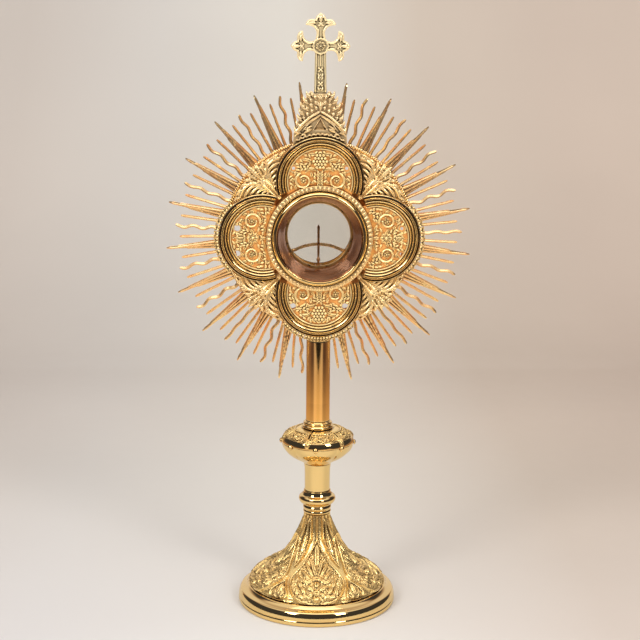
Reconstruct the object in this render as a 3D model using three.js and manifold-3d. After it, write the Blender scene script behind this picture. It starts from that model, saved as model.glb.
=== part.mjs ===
// A gilded brass monstrance: a round foot, a stem with a knop, and a quatrefoil head with a sunburst,
// a cross, and a glazed luna that slides out at the back to take the host.
// Millimetres, +Z up, +X to the right and -Y towards the viewer.
// The origin is the centre of the foot, on the surface that it stands on.

import * as THREE from "three";
import { mergeVertices } from "three/addons/utils/BufferGeometryUtils.js";
import Module from "manifold-3d";

const wasm = await Module();
wasm.setup();

// ---------------------------------------------------------------- driving dimensions
const GAP = 0.3; // between pieces that touch
const WALL = 1.6; // sheet of the spun shells

const FOOT_R = 82.2; // widest radius of the foot
const LEDGE_Z = 18.5; // where the dome stands on the plinth
const NECK_R = 13.4; // neck of the dome
const NECK_Z = 95.2;
const LOWER_STEM_R = 13.3;
const UPPER_STEM_R = 12.2;
const COLLAR_TOP_Z = 120.6;
const KNOP_R = 37.3;
const KNOP_BOTTOM_Z = 149.9;
const KNOP_EQUATOR_Z = 172.6;
const KNOP_TOP_Z = 187.4;
const KNOP_COLLAR_TOP_Z = 195.6;
const STEM_TOP_Z = 280.5;
const SOCKET_TOP_Z = 285.6;

const ROD_R = 4;
const ROD_BORE_R = 4.6;

const HEAD_Z = 388; // centre of the head
const LOBE_R = 42.4; // outer radius of each of the four lobes
const LOBE_AT = 57.1; // from the centre of the head to the centre of a lobe
const WINDOW_R = 35.2; // opening of each lobe
const WELL_R = 47.4; // outer radius of the bezel
const BEAD_R = 53.2; // outer radius of the beaded ring
const FRAME_FRONT_Y = -18;
const FRAME_BACK_Y = 3.7;
const PLATE_BACK_Y = 5.2; // back of the back plate
const LUNA_GLASS_R = 32; // clear radius of the luna

const RAY_STEP_DEG = 4.37; // from one ray to the next
const RAYS_IN_QUADRANT = 20;
const RAY_TOP_DEG = 88.93; // the ray at the top stands a little to the right of the cross
const RAY_LEAN_DEG = 4; // of the last ray on the left, towards the stem
const RAY_ROOT_R = 97;
const RAY_STRIP_R = 86;
const RAY_THICK = 2.4;
const CROSS_Z = 577.5; // centre of the cross
const TOP_Z = 610;

const ROUND = 30; // sides of the foot and the rings of the head
const TURNED = 18; // sides of the stem pieces
const SMALL = 10; // sides of screws and pins

const rad = THREE.MathUtils.degToRad;

// ---------------------------------------------------------------- materials
const polishedGold = new THREE.MeshStandardMaterial({ color: 0xd9a441, roughness: 0.12, metalness: 1 });
const chasedGold = new THREE.MeshStandardMaterial({ color: 0xe0b04e, roughness: 0.3, metalness: 1 });
const deepGold = new THREE.MeshStandardMaterial({ color: 0xc77f2a, roughness: 0.25, metalness: 1 });
const steel = new THREE.MeshStandardMaterial({ color: 0x9a9a98, roughness: 0.35, metalness: 1 });
const clearGlass = new THREE.MeshStandardMaterial({
  color: 0xdde4de, roughness: 0.05, metalness: 0, transparent: true, opacity: 0.3,
});

// ---------------------------------------------------------------- geometry helpers
// Removes what only drawing needs, and merges shared vertices.
function welded(geometry) {
  const g = geometry.index ? geometry.toNonIndexed() : geometry.clone();
  g.deleteAttribute("normal");
  g.deleteAttribute("uv");
  return mergeVertices(g, 1e-4);
}

function solidOf(geometry) {
  const g = welded(geometry);
  return new wasm.Manifold(new wasm.Mesh({
    numProp: 3,
    vertProperties: new Float32Array(g.attributes.position.array),
    triVerts: new Uint32Array(g.index.array),
  }));
}

function geometryOf(solid) {
  const m = solid.getMesh();
  const g = new THREE.BufferGeometry();
  g.setAttribute("position", new THREE.BufferAttribute(new Float32Array(m.vertProperties), 3));
  g.setIndex(new THREE.BufferAttribute(new Uint32Array(m.triVerts), 1));
  g.computeVertexNormals();
  return g;
}

function joined(...geometries) {
  return geometryOf(geometries.map(solidOf).reduce((a, b) => a.add(b)));
}

function cut(geometry, ...tools) {
  return geometryOf(tools.map(solidOf).reduce((a, b) => a.subtract(b), solidOf(geometry)));
}

// A closed outline of [radius, height] pairs turned about Y; its area decides which way the faces point.
function turnedY(outline, sides) {
  const points = outline.map(([r, h]) => new THREE.Vector2(r, h));
  if (THREE.ShapeUtils.area(points) < 0) points.reverse();
  return new THREE.LatheGeometry([...points, points[0]], sides);
}

// The same outline turned about Z.
function turnedZ(outline, sides) {
  return turnedY(outline, sides).rotateX(Math.PI / 2);
}

// A tube standing on Z.
function tube(outer, inner, z0, z1, sides) {
  return turnedZ([[inner, z0], [outer, z0], [outer, z1], [inner, z1]], sides);
}

// A round bar along Y from y0 to y1, centred on (x, z).
function barY(radius, y0, y1, x, z, sides) {
  return new THREE.CylinderGeometry(radius, radius, y1 - y0, sides).translate(x, (y0 + y1) / 2, z);
}

// The same along Z, centred on the axis.
function rodAlongZ(radius, z0, z1, sides) {
  return new THREE.CylinderGeometry(radius, radius, z1 - z0, sides).rotateX(Math.PI / 2).translate(0, 0, (z0 + z1) / 2);
}

function box(x0, x1, y0, y1, z0, z1) {
  return new THREE.BoxGeometry(x1 - x0, y1 - y0, z1 - z0)
    .translate((x0 + x1) / 2, (y0 + y1) / 2, (z0 + z1) / 2);
}

// A flat shape drawn in X and Z, as thick as y0 to y1.
function plate(shape, y0, y1, curveSegments = 12) {
  return new THREE.ExtrudeGeometry(shape, { depth: y1 - y0, bevelEnabled: false, curveSegments })
    .rotateX(Math.PI / 2)
    .translate(0, y1, 0);
}

function circlePath(x, z, radius, sides) {
  return polygon(arc(x, z, radius, 0, 360, sides).slice(0, -1), THREE.Path);
}

function polygon(points, Kind = THREE.Shape) {
  return new Kind(points.map(([x, z]) => new THREE.Vector2(x, z)));
}

function polar(radius, degrees, x = 0, z = 0) {
  return [x + radius * Math.cos(rad(degrees)), z + radius * Math.sin(rad(degrees))];
}

// Points along an arc, both ends included.
function arc(x, z, radius, from, to, steps) {
  return Array.from({ length: steps + 1 }, (_, i) => polar(radius, from + ((to - from) * i) / steps, x, z));
}

function mirrored(points) {
  return points.map(([x, z]) => [-x, z]).reverse();
}

function piece(name, geometry, material) {
  const mesh = new THREE.Mesh(geometry, material);
  mesh.name = name;
  return mesh;
}

// ---------------------------------------------------------------- foot
function footPlinth() {
  const outside = [
    [73, 0], [81.2, 0], [FOOT_R, 2.6], [81.4, 5.6], [82, 6.8], [81.2, 11], [79.8, 13.9], [76.8, 15], [72.9, 17.2],
    [70.2, LEDGE_Z + 0.3],
  ];
  const inside = [[70.1, LEDGE_Z], [66, LEDGE_Z], [66, 16.4], [73.2, 14.6], [77.6, 6], [77, 2], [73, 2]];
  return turnedZ([...outside, ...inside], ROUND);
}

function footDome() {
  const bottom = LEDGE_Z + GAP;
  const outside = [
    [69.7, bottom], [70.6, 22], [69.2, 26], [61.4, 32.5], [50.5, 39.3], [38.2, 47.5], [30.2, 57],
    [22.1, 68.5], [16.2, 80], [13.6, 90], [NECK_R, NECK_Z],
  ];
  const inside = [
    [ROD_BORE_R, NECK_Z], [ROD_BORE_R, NECK_Z - 2], [11.6, NECK_Z - 2], [14.4, 79], [27.5, 55.5],
    [48.5, 37.2], [60, 30.4], [67, 25], [67, bottom],
  ];
  return turnedZ([...outside, ...inside], ROUND);
}

function rodNut() {
  const [z0, z1] = [NECK_Z - 11.9, NECK_Z - 4.5];
  return cut(rodAlongZ(7.5, z0, z1, 6), rodAlongZ(ROD_R + GAP, z0 - 1, z1 + 1, 12));
}

// ---------------------------------------------------------------- stem
function bored(outside) {
  const [first, last] = [outside[0][1], outside[outside.length - 1][1]];
  return turnedZ([[ROD_BORE_R, first], ...outside, [ROD_BORE_R, last]], TURNED);
}

function neckCollar() {
  return bored([
    [12.8, NECK_Z + GAP], [14.8, 97.4], [14.2, 99.6], [14.9, 102], [13.9, 105], [17.2, 106.8],
    [19.2, 110.2], [19.1, 112.6], [16.4, 117], [13.6, COLLAR_TOP_Z],
  ]);
}

function knopLowerShell() {
  return turnedZ([
    [ROD_BORE_R, KNOP_BOTTOM_Z], [14.9, KNOP_BOTTOM_Z], [15.4, 152.2], [24.5, 157], [33, 163.2],
    [36.6, 168.2], [KNOP_R, KNOP_EQUATOR_Z], [KNOP_R - WALL, KNOP_EQUATOR_Z], [34.6, 168.6],
    [23.4, 158.8], [14, 153.6], [ROD_BORE_R, 153.6],
  ], TURNED);
}

function knopUpperShell() {
  const bottom = KNOP_EQUATOR_Z + GAP;
  return turnedZ([
    [KNOP_R, bottom], [36.4, 177], [33, 181], [26, 185.4], [19, 187.2], [16.2, KNOP_TOP_Z],
    [ROD_BORE_R, KNOP_TOP_Z], [ROD_BORE_R, 185], [18.5, 185], [31.6, 179.4], [KNOP_R - WALL, bottom],
  ], TURNED);
}

function knopCollar() {
  return bored([
    [15.4, KNOP_TOP_Z + GAP], [15.9, 189.4], [14.3, 190.8], [14.9, 192.4], [12.6, KNOP_COLLAR_TOP_Z],
  ]);
}

// A small round boss with its axis along +X, standing at the origin.
function knopStud() {
  const outline = [[0, 0], [2.3, 0], [2.1, 0.8], [1.2, 1.3], [0, 1.5]].map(([r, h]) => new THREE.Vector2(r, h));
  return new THREE.LatheGeometry(outline, 8).rotateZ(-Math.PI / 2);
}

// ---------------------------------------------------------------- head
// The outline of four overlapping lobes, from cusp to cusp.
function quatrefoil(radius, steps) {
  const half = Math.sqrt(radius ** 2 - LOBE_AT ** 2 / 2);
  const cusp = LOBE_AT / Math.SQRT2 + half;
  const reach = THREE.MathUtils.radToDeg(Math.atan2(cusp / Math.SQRT2, cusp / Math.SQRT2 - LOBE_AT));
  return polygon([0, 90, 180, 270].flatMap((turn) => {
    const [x, z] = polar(LOBE_AT, turn);
    return arc(x, z, radius, turn - reach, turn + reach, steps).slice(0, -1);
  }));
}

// The part of a lobe outside a circle about the centre of the head, for the lobe on +X.
function lune(lobeRadius, ringRadius, steps) {
  const x = (LOBE_AT ** 2 + ringRadius ** 2 - lobeRadius ** 2) / (2 * LOBE_AT);
  const z = Math.sqrt(ringRadius ** 2 - x ** 2);
  const onLobe = THREE.MathUtils.radToDeg(Math.atan2(z, x - LOBE_AT));
  const onRing = THREE.MathUtils.radToDeg(Math.atan2(z, x));
  return [
    ...arc(LOBE_AT, 0, lobeRadius, -onLobe, onLobe, steps),
    ...arc(0, 0, ringRadius, onRing, -onRing, Math.round(steps / 2)).slice(1, -1),
  ];
}

function turnedPoints(points, degrees) {
  const [c, s] = [Math.cos(rad(degrees)), Math.sin(rad(degrees))];
  return points.map(([x, z]) => [x * c - z * s, x * s + z * c]);
}

const SCREW_AT = 50.4; // from the centre of the head to each frame screw
const SCREW_HOLE_R = 1.9;
const SCREW_TURNS = [45, 135, 225, 315];

function screwHoles() {
  return SCREW_TURNS.map((turn) => circlePath(...polar(SCREW_AT, turn), SCREW_HOLE_R, 8));
}

function quatrefoilFrame() {
  const shape = quatrefoil(LOBE_R, 12);
  const windows = [0, 90, 180, 270].map((turn) => (
    polygon(turnedPoints(lune(WINDOW_R, BEAD_R - 0.6, 14), turn), THREE.Path)
  ));
  shape.holes.push(circlePath(0, 0, WELL_R + GAP, ROUND), ...windows, ...screwHoles());
  return plate(shape, FRAME_FRONT_Y, FRAME_BACK_Y);
}

const BRACKET_SCREW_Z = [-88, -52]; // from the centre of the head

// Two small holes go right through each lobe: the same distance out in the top and bottom lobes, and a little
// low in the side lobes. They are larger in the back plate than in the panel in front of it.
const PIERCED_R = 3.2;
const PIERCED_BACK_R = 5.6;

function piercedAt(turn, radius) {
  const side = turn === 180 ? -82.6 : 82.6;
  const places = turn % 180 ? turnedPoints([[70, 26.5], [70, -26.5]], turn) : [[side, 9.6], [side, -16.2]];
  return places.map(([x, z]) => circlePath(x, z, radius, 8));
}

function backPlate() {
  const shape = quatrefoil(LOBE_R - 0.3, 12);
  const pierced = [0, 90, 180, 270].flatMap((turn) => piercedAt(turn, PIERCED_BACK_R));
  const bracketHoles = BRACKET_SCREW_Z.map((z) => circlePath(0, z, 2, 8));
  shape.holes.push(circlePath(0, 0, 35, ROUND), ...pierced, ...screwHoles(), ...bracketHoles);
  return plate(shape, FRAME_BACK_Y + GAP, PLATE_BACK_Y);
}

function filigree(turn) {
  const shape = polygon(turnedPoints(lune(WINDOW_R - GAP, BEAD_R + GAP, 14), turn));
  shape.holes.push(...piercedAt(turn, PIERCED_R));
  return plate(shape, -13, -11);
}

// The funnel round the glass: a rounded lip in front, a straight outer wall and a coned inner wall.
function bezel() {
  return turnedY([
    [WELL_R, FRAME_BACK_Y], [WELL_R, -22.4], [46, -24.6], [44, -25], [42.2, -23], [41.2, -19], [37.6, -8],
    [34.6, FRAME_BACK_Y], [36.2, FRAME_BACK_Y], [42.4, -15.6], [45.6, -19.4], [45.8, FRAME_BACK_Y],
  ], ROUND);
}

function beadRing() {
  return turnedY([
    [WELL_R + GAP, FRAME_FRONT_Y - GAP], [BEAD_R, FRAME_FRONT_Y - GAP], [BEAD_R, -19.8], [50.6, -21.4],
    [WELL_R + GAP, -20],
  ], ROUND);
}

// The ribbed wings and the leaf between two lobes, for the corner at 45 degrees.
const CORNER_TIP_R = 101;

function cornerLeaf() {
  const edge = LOBE_R + GAP;
  const half = Math.sqrt(edge ** 2 - LOBE_AT ** 2 / 2);
  const cusp = (LOBE_AT / Math.SQRT2 + half) / Math.SQRT2;
  const cuspAngle = THREE.MathUtils.radToDeg(Math.atan2(cusp, cusp - LOBE_AT));
  const shoulder = 50; // where a wing ends, measured round the lobe from its far side
  const lower = arc(LOBE_AT, 0, edge, shoulder, cuspAngle, 7);
  const wing = [[81.4, 43.2], [78, 51], [75.4, 58], [75.2, 64.4]];
  const otherSide = (points) => points.map(([x, z]) => [z, x]);
  const shape = polygon([
    ...lower, ...otherSide(lower).reverse().slice(1), ...otherSide(wing), polar(CORNER_TIP_R, 45),
    ...wing.slice().reverse(),
  ]);
  return plate(shape, -10, PLATE_BACK_Y);
}

// ---------------------------------------------------------------- sunburst
const RAY_KINDS = ["wavy", "thin", "big", "thin"]; // by steps from the top, on both sides
// Each width is a pair: how far along the ray, and how wide it is there.
const RAYS = {
  thin: { tip: 141, widths: [[0, 3.2], [0.12, 2.6], [1, 2]], swing: 0, steps: 8 },
  big: { tip: 155.3, widths: [[0, 10.8], [0.25, 6.4], [1, 2.2]], swing: 0, steps: 4 },
  wavy: { tip: 145.5, widths: [[0, 4], [0.125, 3], [1, 2.4]], swing: 1.1, steps: 8 },
};
const WAVE_LENGTH = 19;
const RAY_Y = [PLATE_BACK_Y + GAP, PLATE_BACK_Y + GAP + RAY_THICK];

function rayAngle(step) {
  return RAY_TOP_DEG - RAY_STEP_DEG * step;
}

// How far a ray's root is turned from its tip: only the last twelve on the left lean.
function rayLean(step) {
  return RAY_LEAN_DEG * Math.max(0, (-28 - step) / 12) ** 2;
}

// The outline of one ray, from its right side round its tip to its left side.
function rayOutline(step) {
  const { tip, widths, swing, steps } = RAYS[RAY_KINDS[Math.abs(step) % 4]];
  const widthAt = (along) => {
    const i = widths.findIndex(([at]) => at >= along && at > 0);
    const [[from, root], [to, end]] = [widths[i - 1], widths[i]];
    return root + ((end - root) * (along - from)) / (to - from);
  };
  const side = (sign) => Array.from({ length: steps + 1 }, (_, i) => {
    const along = i / steps;
    const out = RAY_ROOT_R + (tip - RAY_ROOT_R) * along;
    const width = widthAt(along);
    const sway = swing * Math.sin((2 * Math.PI * (out - RAY_ROOT_R)) / WAVE_LENGTH);
    const degrees = rayAngle(step) - rayLean(step) * (1 - along);
    return turnedPoints([[i ? out : out - 0.5, (sign * width) / 2 + sway]], degrees)[0];
  });
  return [...side(-1), ...side(1).reverse()];
}

// Twenty rays on an arched strip with one lug, cast in one piece.
function rayQuadrant(first, lugTurn) {
  const steps = Array.from({ length: RAYS_IN_QUADRANT }, (_, i) => first + RAYS_IN_QUADRANT - 1 - i);
  const edge = RAY_STEP_DEG / 2 - 0.15;
  const [from, to] = [rayAngle(steps[0]) - edge, rayAngle(first) - rayLean(first) + edge];
  const lug = turnedPoints([[RAY_STRIP_R, 6], [46, 6], [46, -6], [RAY_STRIP_R, -6]], lugTurn);
  const shape = polygon([
    polar(RAY_ROOT_R - 0.5, from), ...steps.flatMap(rayOutline), polar(RAY_ROOT_R - 0.5, to),
    ...arc(0, 0, RAY_STRIP_R, to, lugTurn + 6, 6), ...lug, ...arc(0, 0, RAY_STRIP_R, lugTurn - 6, from, 6),
  ]);
  shape.holes.push(circlePath(...polar(SCREW_AT, lugTurn), SCREW_HOLE_R, 8));
  return plate(shape, RAY_Y[0], RAY_Y[1]);
}

// ---------------------------------------------------------------- cross and its gable
// Half of the gable's outline, from the middle of its foot on the top lobe to its peak.
function gable() {
  const onLobe = arc(0, LOBE_AT, LOBE_R + GAP, 90, 54, 6);
  const right = [
    [28, 93.5], [27, 103], [24.5, 110], [21.5, 118], [19.6, 126.5], [16.2, 136], [13, 141.5], [10, 146.4],
    [7.6, 145.4], [7.2, 143],
  ];
  const shape = polygon([...mirrored([...onLobe, ...right]), ...onLobe.slice(1), ...right].reverse());
  const recess = polygon([[-6.4, 107.6], [6.4, 107.6], [0, 118.2]]);
  return cut(plate(shape, -8, PLATE_BACK_Y), plate(recess, -9, 2));
}

// A budded arm drawn along +X: a waist, two horns and a point.
function buddedArm(length) {
  const half = [
    [6, 5], [length - 17.5, 4.4], [length - 14.2, 6.6], [length - 12.4, 10.6], [length - 11.2, 15.2],
    [length - 8, 13.4], [length - 6.2, 8.8], [length - 6.6, 5.6], [length - 3, 3.8],
  ];
  return [...half.map(([x, z]) => [x, -z]), [length, 0], ...half.slice().reverse()];
}

const CROSS_Y = [-2.4, 2.4];

function cross() {
  const arms = [[29.6, 0], [TOP_Z - CROSS_Z, 90], [29.6, 180]];
  const foot = HEAD_Z + 143 + GAP - CROSS_Z;
  const shaft = [[-5.4, 0], [-6.4, foot], [6.4, foot], [5.4, 0]];
  const hub = plate(polygon(arc(0, 0, 8.6, 0, 360, 16).slice(0, -1)), ...CROSS_Y);
  return joined(
    hub,
    plate(polygon(shaft), ...CROSS_Y),
    ...arms.map(([length, turn]) => plate(polygon(turnedPoints(buddedArm(length), turn)), ...CROSS_Y)),
  );
}

// ---------------------------------------------------------------- how the head is held
const BRACKET_Y = [PLATE_BACK_Y + GAP, PLATE_BACK_Y + GAP + 4];

function headBracket() {
  const [front, back] = BRACKET_Y;
  const bottom = SOCKET_TOP_Z + GAP - HEAD_Z;
  const upright = box(-7.5, 7.5, front, back, bottom, -42.6);
  const toe = box(-7.5, 7.5, -9, back, bottom, bottom + 1.6);
  const holes = BRACKET_SCREW_Z.map((z) => barY(2, front - 1, back + 1, 0, z, 8));
  return cut(joined(upright, toe), ...holes);
}

// A screw with a round head behind and a shank towards the front, centred on (x, z).
function screw(shank, head, x, z, y0, seat) {
  return turnedY([
    [0, y0], [shank, y0], [shank, seat], [head, seat], [head, seat + 1], [head * 0.6, seat + 2], [0, seat + 2],
  ], SMALL).translate(x, 0, z);
}

// ---------------------------------------------------------------- luna
const HOUSING_Y = [PLATE_BACK_Y + GAP, 30];
const HOUSING_R = [38.6, 41.5];
const LUNA_FRONT_Y = 7;
const FLANGE_Y = [HOUSING_Y[1] + GAP, 34];
const HINGE = { x: -42, y: 36.4, r: 1.9, pin: 0.7 };
const BOW = { x: 27, y: 24.5, z: -18, rise: 7, r: 1.1, pivot: 0.8 };
const POST = { y: 20.7, top: 6, halfWidth: 1.1, ball: -27.7 };

function hingeKnuckle(z0, z1) {
  return turnedZ([[HINGE.pin + GAP, z0], [HINGE.r, z0], [HINGE.r, z1], [HINGE.pin + GAP, z1]], SMALL)
    .translate(HINGE.x, HINGE.y, 0);
}

function hingeBore() {
  return new THREE.CylinderGeometry(HINGE.pin + GAP, HINGE.pin + GAP, 40, SMALL)
    .rotateX(Math.PI / 2)
    .translate(HINGE.x, HINGE.y, 0);
}

// The drum that holds the glass and the host, with its stop flange, its hinge knuckle and two pivot lugs.
function lunaRing() {
  const inner = 36.4;
  const drum = turnedY([
    [LUNA_GLASS_R, LUNA_FRONT_Y], [38.2, LUNA_FRONT_Y], [38.2, FLANGE_Y[0]], [41, FLANGE_Y[0]], [41, FLANGE_Y[1]],
    [inner, FLANGE_Y[1]], [inner, LUNA_FRONT_Y + 4], [LUNA_GLASS_R, LUNA_FRONT_Y + 4],
  ], ROUND);
  const arm = cut(box(HINGE.x - 1.5, -40, FLANGE_Y[0] + 1, HINGE.y, -5, 5), hingeBore());
  const lugs = [-1, 1].map((side) => cut(
    box(...[side * (BOW.x + 1.4), side * 32].sort((a, b) => a - b), BOW.y - 2, BOW.y + 2, BOW.z - 2.2, BOW.z + 2),
    new THREE.CylinderGeometry(BOW.pivot + GAP, BOW.pivot + GAP, 80, SMALL)
      .rotateZ(Math.PI / 2).translate(0, BOW.y, BOW.z),
  ));
  return joined(cut(drum, hingeBore()), arm, hingeKnuckle(-5, 5), ...lugs);
}

function glassDisc(radius, y0, y1) {
  return new THREE.CylinderGeometry(radius, radius, y1 - y0, ROUND).translate(0, (y0 + y1) / 2, 0);
}

// The upright that keeps the host against the glass, with its small ball and its foot on the drum.
function hostPost() {
  const w = POST.halfWidth;
  const blade = box(-w, w, POST.y - 1, POST.y + 1, -33, POST.top);
  const tip = new THREE.ConeGeometry(w * 1.2, 3, 8).rotateX(Math.PI / 2).translate(0, POST.y, POST.top + 1);
  const ball = new THREE.SphereGeometry(1.9, 8, 6).rotateX(Math.PI / 2).translate(0, POST.y, POST.ball);
  const foot = box(-3.4, 3.4, POST.y - 1.4, POST.y + 5, -35.6, -32);
  return joined(blade, tip, ball, foot);
}

// The arched bail behind the post; it turns on the two stubs at its ends.
function hostBow() {
  const span = BOW.x - 1.2;
  const radius = (span ** 2 + BOW.rise ** 2) / (2 * BOW.rise);
  const reach = THREE.MathUtils.radToDeg(Math.asin(span / radius));
  const points = arc(0, BOW.rise - radius, radius, 90 + reach, 90 - reach, 16)
    .map(([x, z]) => new THREE.Vector3(x, 0, z));
  const section = polygon(arc(0, 0, BOW.r, 0, 360, 6).slice(0, -1));
  const arch = new THREE.ExtrudeGeometry(section, {
    steps: 10, bevelEnabled: false, extrudePath: new THREE.CatmullRomCurve3(points),
  });
  const ends = [-1, 1].flatMap((side) => {
    const eye = new THREE.CylinderGeometry(1.7, 1.7, 2.4, SMALL).rotateZ(Math.PI / 2).translate(side * span, 0, 0);
    const stub = new THREE.CylinderGeometry(BOW.pivot, BOW.pivot, 4.6, SMALL)
      .rotateZ(Math.PI / 2).translate(side * (span + 2.6), 0, 0);
    return [eye, stub];
  });
  return joined(arch, ...ends);
}

const DOOR_Y = [FLANGE_Y[1] + GAP + 0.1, 38];
const DOOR_R = 39.5;
const DOOR_GLASS_Y = [35.2, 36.8];

function doorRing() {
  const opening = 34;
  const ring = turnedY([
    [opening, DOOR_Y[0]], [DOOR_R, DOOR_Y[0]], [DOOR_R, DOOR_Y[1] - 1], [DOOR_R - 1.4, DOOR_Y[1]],
    [opening, DOOR_Y[1]], [opening, DOOR_GLASS_Y[1] + GAP], [opening + 2.3, DOOR_GLASS_Y[1] + GAP],
    [opening + 2.3, DOOR_GLASS_Y[0] - GAP], [opening, DOOR_GLASS_Y[0] - GAP],
  ], ROUND);
  const leaves = [[5.3, 10], [-10, -5.3]].flatMap(([z0, z1]) => [
    cut(box(HINGE.x, -36.8, HINGE.y - 0.8, HINGE.y + 1, z0, z1), hingeBore()),
    hingeKnuckle(z0, z1),
  ]);
  return joined(ring, ...leaves);
}

function doorKnob() {
  return turnedY([[0, 0], [1.6, 0], [1.3, 1.6], [2.6, 2.8], [2.8, 4.2], [1.8, 5.4], [0, 5.8]], SMALL);
}

function hingePin() {
  return new THREE.CylinderGeometry(HINGE.pin, HINGE.pin, 23, SMALL)
    .rotateX(Math.PI / 2)
    .translate(HINGE.x, HINGE.y, 0);
}

// ---------------------------------------------------------------- assembly
const monstrance = new THREE.Group();

const foot = new THREE.Group();
foot.add(
  piece("foot_plinth", footPlinth(), polishedGold),
  piece("foot_dome", footDome(), chasedGold),
  piece("rod_washer", tube(10, ROD_R + GAP, NECK_Z - 4.2, NECK_Z - 2 - GAP, TURNED), steel),
  piece("rod_nut", rodNut(), steel),
  piece("tie_rod", rodAlongZ(ROD_R, 80, SOCKET_TOP_Z - 3.4, 12), steel),
);

const stem = new THREE.Group();
stem.add(
  piece("neck_collar", neckCollar(), polishedGold),
  piece("lower_stem", tube(LOWER_STEM_R, LOWER_STEM_R - WALL, COLLAR_TOP_Z + GAP, KNOP_BOTTOM_Z - GAP, TURNED), polishedGold),
  piece("knop_lower_shell", knopLowerShell(), polishedGold),
  piece("knop_upper_shell", knopUpperShell(), chasedGold),
  piece("knop_collar", knopCollar(), polishedGold),
  piece("upper_stem", tube(UPPER_STEM_R, UPPER_STEM_R - WALL, KNOP_COLLAR_TOP_Z + GAP, STEM_TOP_Z, TURNED), polishedGold),
  piece("head_socket", cut(
    rodAlongZ(12.9, STEM_TOP_Z + GAP, SOCKET_TOP_Z, TURNED),
    rodAlongZ(ROD_BORE_R, STEM_TOP_Z, SOCKET_TOP_Z - 2.4, TURNED),
  ), polishedGold),
);
for (let i = 0; i < 8; i += 1) {
  const degrees = 45 * i - 95; // the first stud faces the viewer, 5 degrees to the left
  const stud = piece(`knop_stud_${i + 1}`, knopStud(), polishedGold);
  stud.rotation.z = rad(degrees);
  stud.position.set(...polar(KNOP_R + GAP, degrees), KNOP_EQUATOR_Z);
  stem.add(stud);
}

const head = new THREE.Group();
head.position.z = HEAD_Z;
head.add(
  piece("quatrefoil_frame", quatrefoilFrame(), polishedGold),
  piece("back_plate", backPlate(), deepGold),
  piece("bezel", bezel(), polishedGold),
  piece("bead_ring", beadRing(), chasedGold),
  piece("cross_gable", gable(), chasedGold),
  piece("luna_housing", turnedY([
    [HOUSING_R[0], HOUSING_Y[0]], [HOUSING_R[1], HOUSING_Y[0]], [HOUSING_R[1], HOUSING_Y[1]],
    [HOUSING_R[0], HOUSING_Y[1]],
  ], ROUND), polishedGold),
  piece("head_bracket", headBracket(), polishedGold),
);
["right", "top", "left", "bottom"].forEach((side, i) => {
  head.add(piece(`filigree_${side}`, filigree(90 * i), chasedGold));
});
SCREW_TURNS.forEach((turn, i) => {
  const corner = piece(`corner_leaf_${i + 1}`, cornerLeaf(), chasedGold);
  corner.rotation.y = -rad(turn - 45);
  head.add(corner);
  const [x, z] = polar(SCREW_AT, turn);
  head.add(piece(`frame_screw_${i + 1}`, screw(1.5, 2.7, x, z, -4, RAY_Y[1] + GAP), steel));
});
BRACKET_SCREW_Z.forEach((z, i) => {
  head.add(piece(`bracket_screw_${i + 1}`, screw(1.6, 3.2, 0, z, FRAME_BACK_Y + GAP, BRACKET_Y[1] + GAP), steel));
});
[0, 1, 2, 3].forEach((i) => {
  head.add(piece(`sunburst_${i + 1}`, rayQuadrant(RAYS_IN_QUADRANT * (1 - i), 90 * i - 45), chasedGold));
});

const crossGroup = new THREE.Group();
crossGroup.position.z = CROSS_Z;
crossGroup.add(
  piece("cross", cross(), chasedGold),
  piece("cross_rosette", turnedY([
    [0, CROSS_Y[0] - GAP], [7.2, CROSS_Y[0] - GAP], [6.4, CROSS_Y[0] - 1.6], [2.6, CROSS_Y[0] - 2.2], [0, CROSS_Y[0] - 3],
  ], 16), chasedGold),
);

const luna = new THREE.Group(); // slides out along +Y
luna.position.z = HEAD_Z;
const bow = piece("host_bow", hostBow(), polishedGold); // turns about X through its own origin
bow.position.set(0, BOW.y, BOW.z);
const knob = piece("door_knob", doorKnob(), polishedGold);
knob.position.set(36.6, DOOR_Y[1] + GAP, 0);
luna.add(
  piece("luna_ring", lunaRing(), polishedGold),
  piece("luna_glass", glassDisc(36, LUNA_FRONT_Y + 4 + GAP, LUNA_FRONT_Y + 6), clearGlass),
  piece("host_post", hostPost(), polishedGold),
  bow,
  piece("door_ring", doorRing(), polishedGold),
  piece("door_glass", glassDisc(36, ...DOOR_GLASS_Y), clearGlass),
  knob,
  piece("luna_hinge_pin", hingePin(), steel),
);

monstrance.add(foot, stem, head, crossGroup, luna);
export default monstrance;
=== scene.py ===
import math

import bmesh
import bpy
import numpy as np
from mathutils import Matrix, Vector, noise

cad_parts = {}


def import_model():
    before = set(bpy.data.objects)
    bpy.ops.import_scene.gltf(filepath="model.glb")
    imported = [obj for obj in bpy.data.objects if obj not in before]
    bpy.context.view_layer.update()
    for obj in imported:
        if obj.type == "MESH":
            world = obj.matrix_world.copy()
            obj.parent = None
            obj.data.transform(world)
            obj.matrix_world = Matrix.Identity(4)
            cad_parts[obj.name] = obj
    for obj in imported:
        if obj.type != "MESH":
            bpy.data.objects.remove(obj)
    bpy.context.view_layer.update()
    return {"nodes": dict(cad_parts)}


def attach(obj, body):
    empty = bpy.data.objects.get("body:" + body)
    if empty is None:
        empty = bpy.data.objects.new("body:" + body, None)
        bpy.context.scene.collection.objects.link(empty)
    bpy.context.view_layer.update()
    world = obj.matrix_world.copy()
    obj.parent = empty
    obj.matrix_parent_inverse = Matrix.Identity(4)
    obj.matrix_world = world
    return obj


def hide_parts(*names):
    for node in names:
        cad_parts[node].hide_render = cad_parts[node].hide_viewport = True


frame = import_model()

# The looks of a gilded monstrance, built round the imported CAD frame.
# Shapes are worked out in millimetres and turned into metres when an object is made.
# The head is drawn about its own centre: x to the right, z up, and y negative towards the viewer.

MM = 0.001
TAU = 2 * math.pi
HEAD_Z = 388.0
LOBE_AT = 57.1
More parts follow.
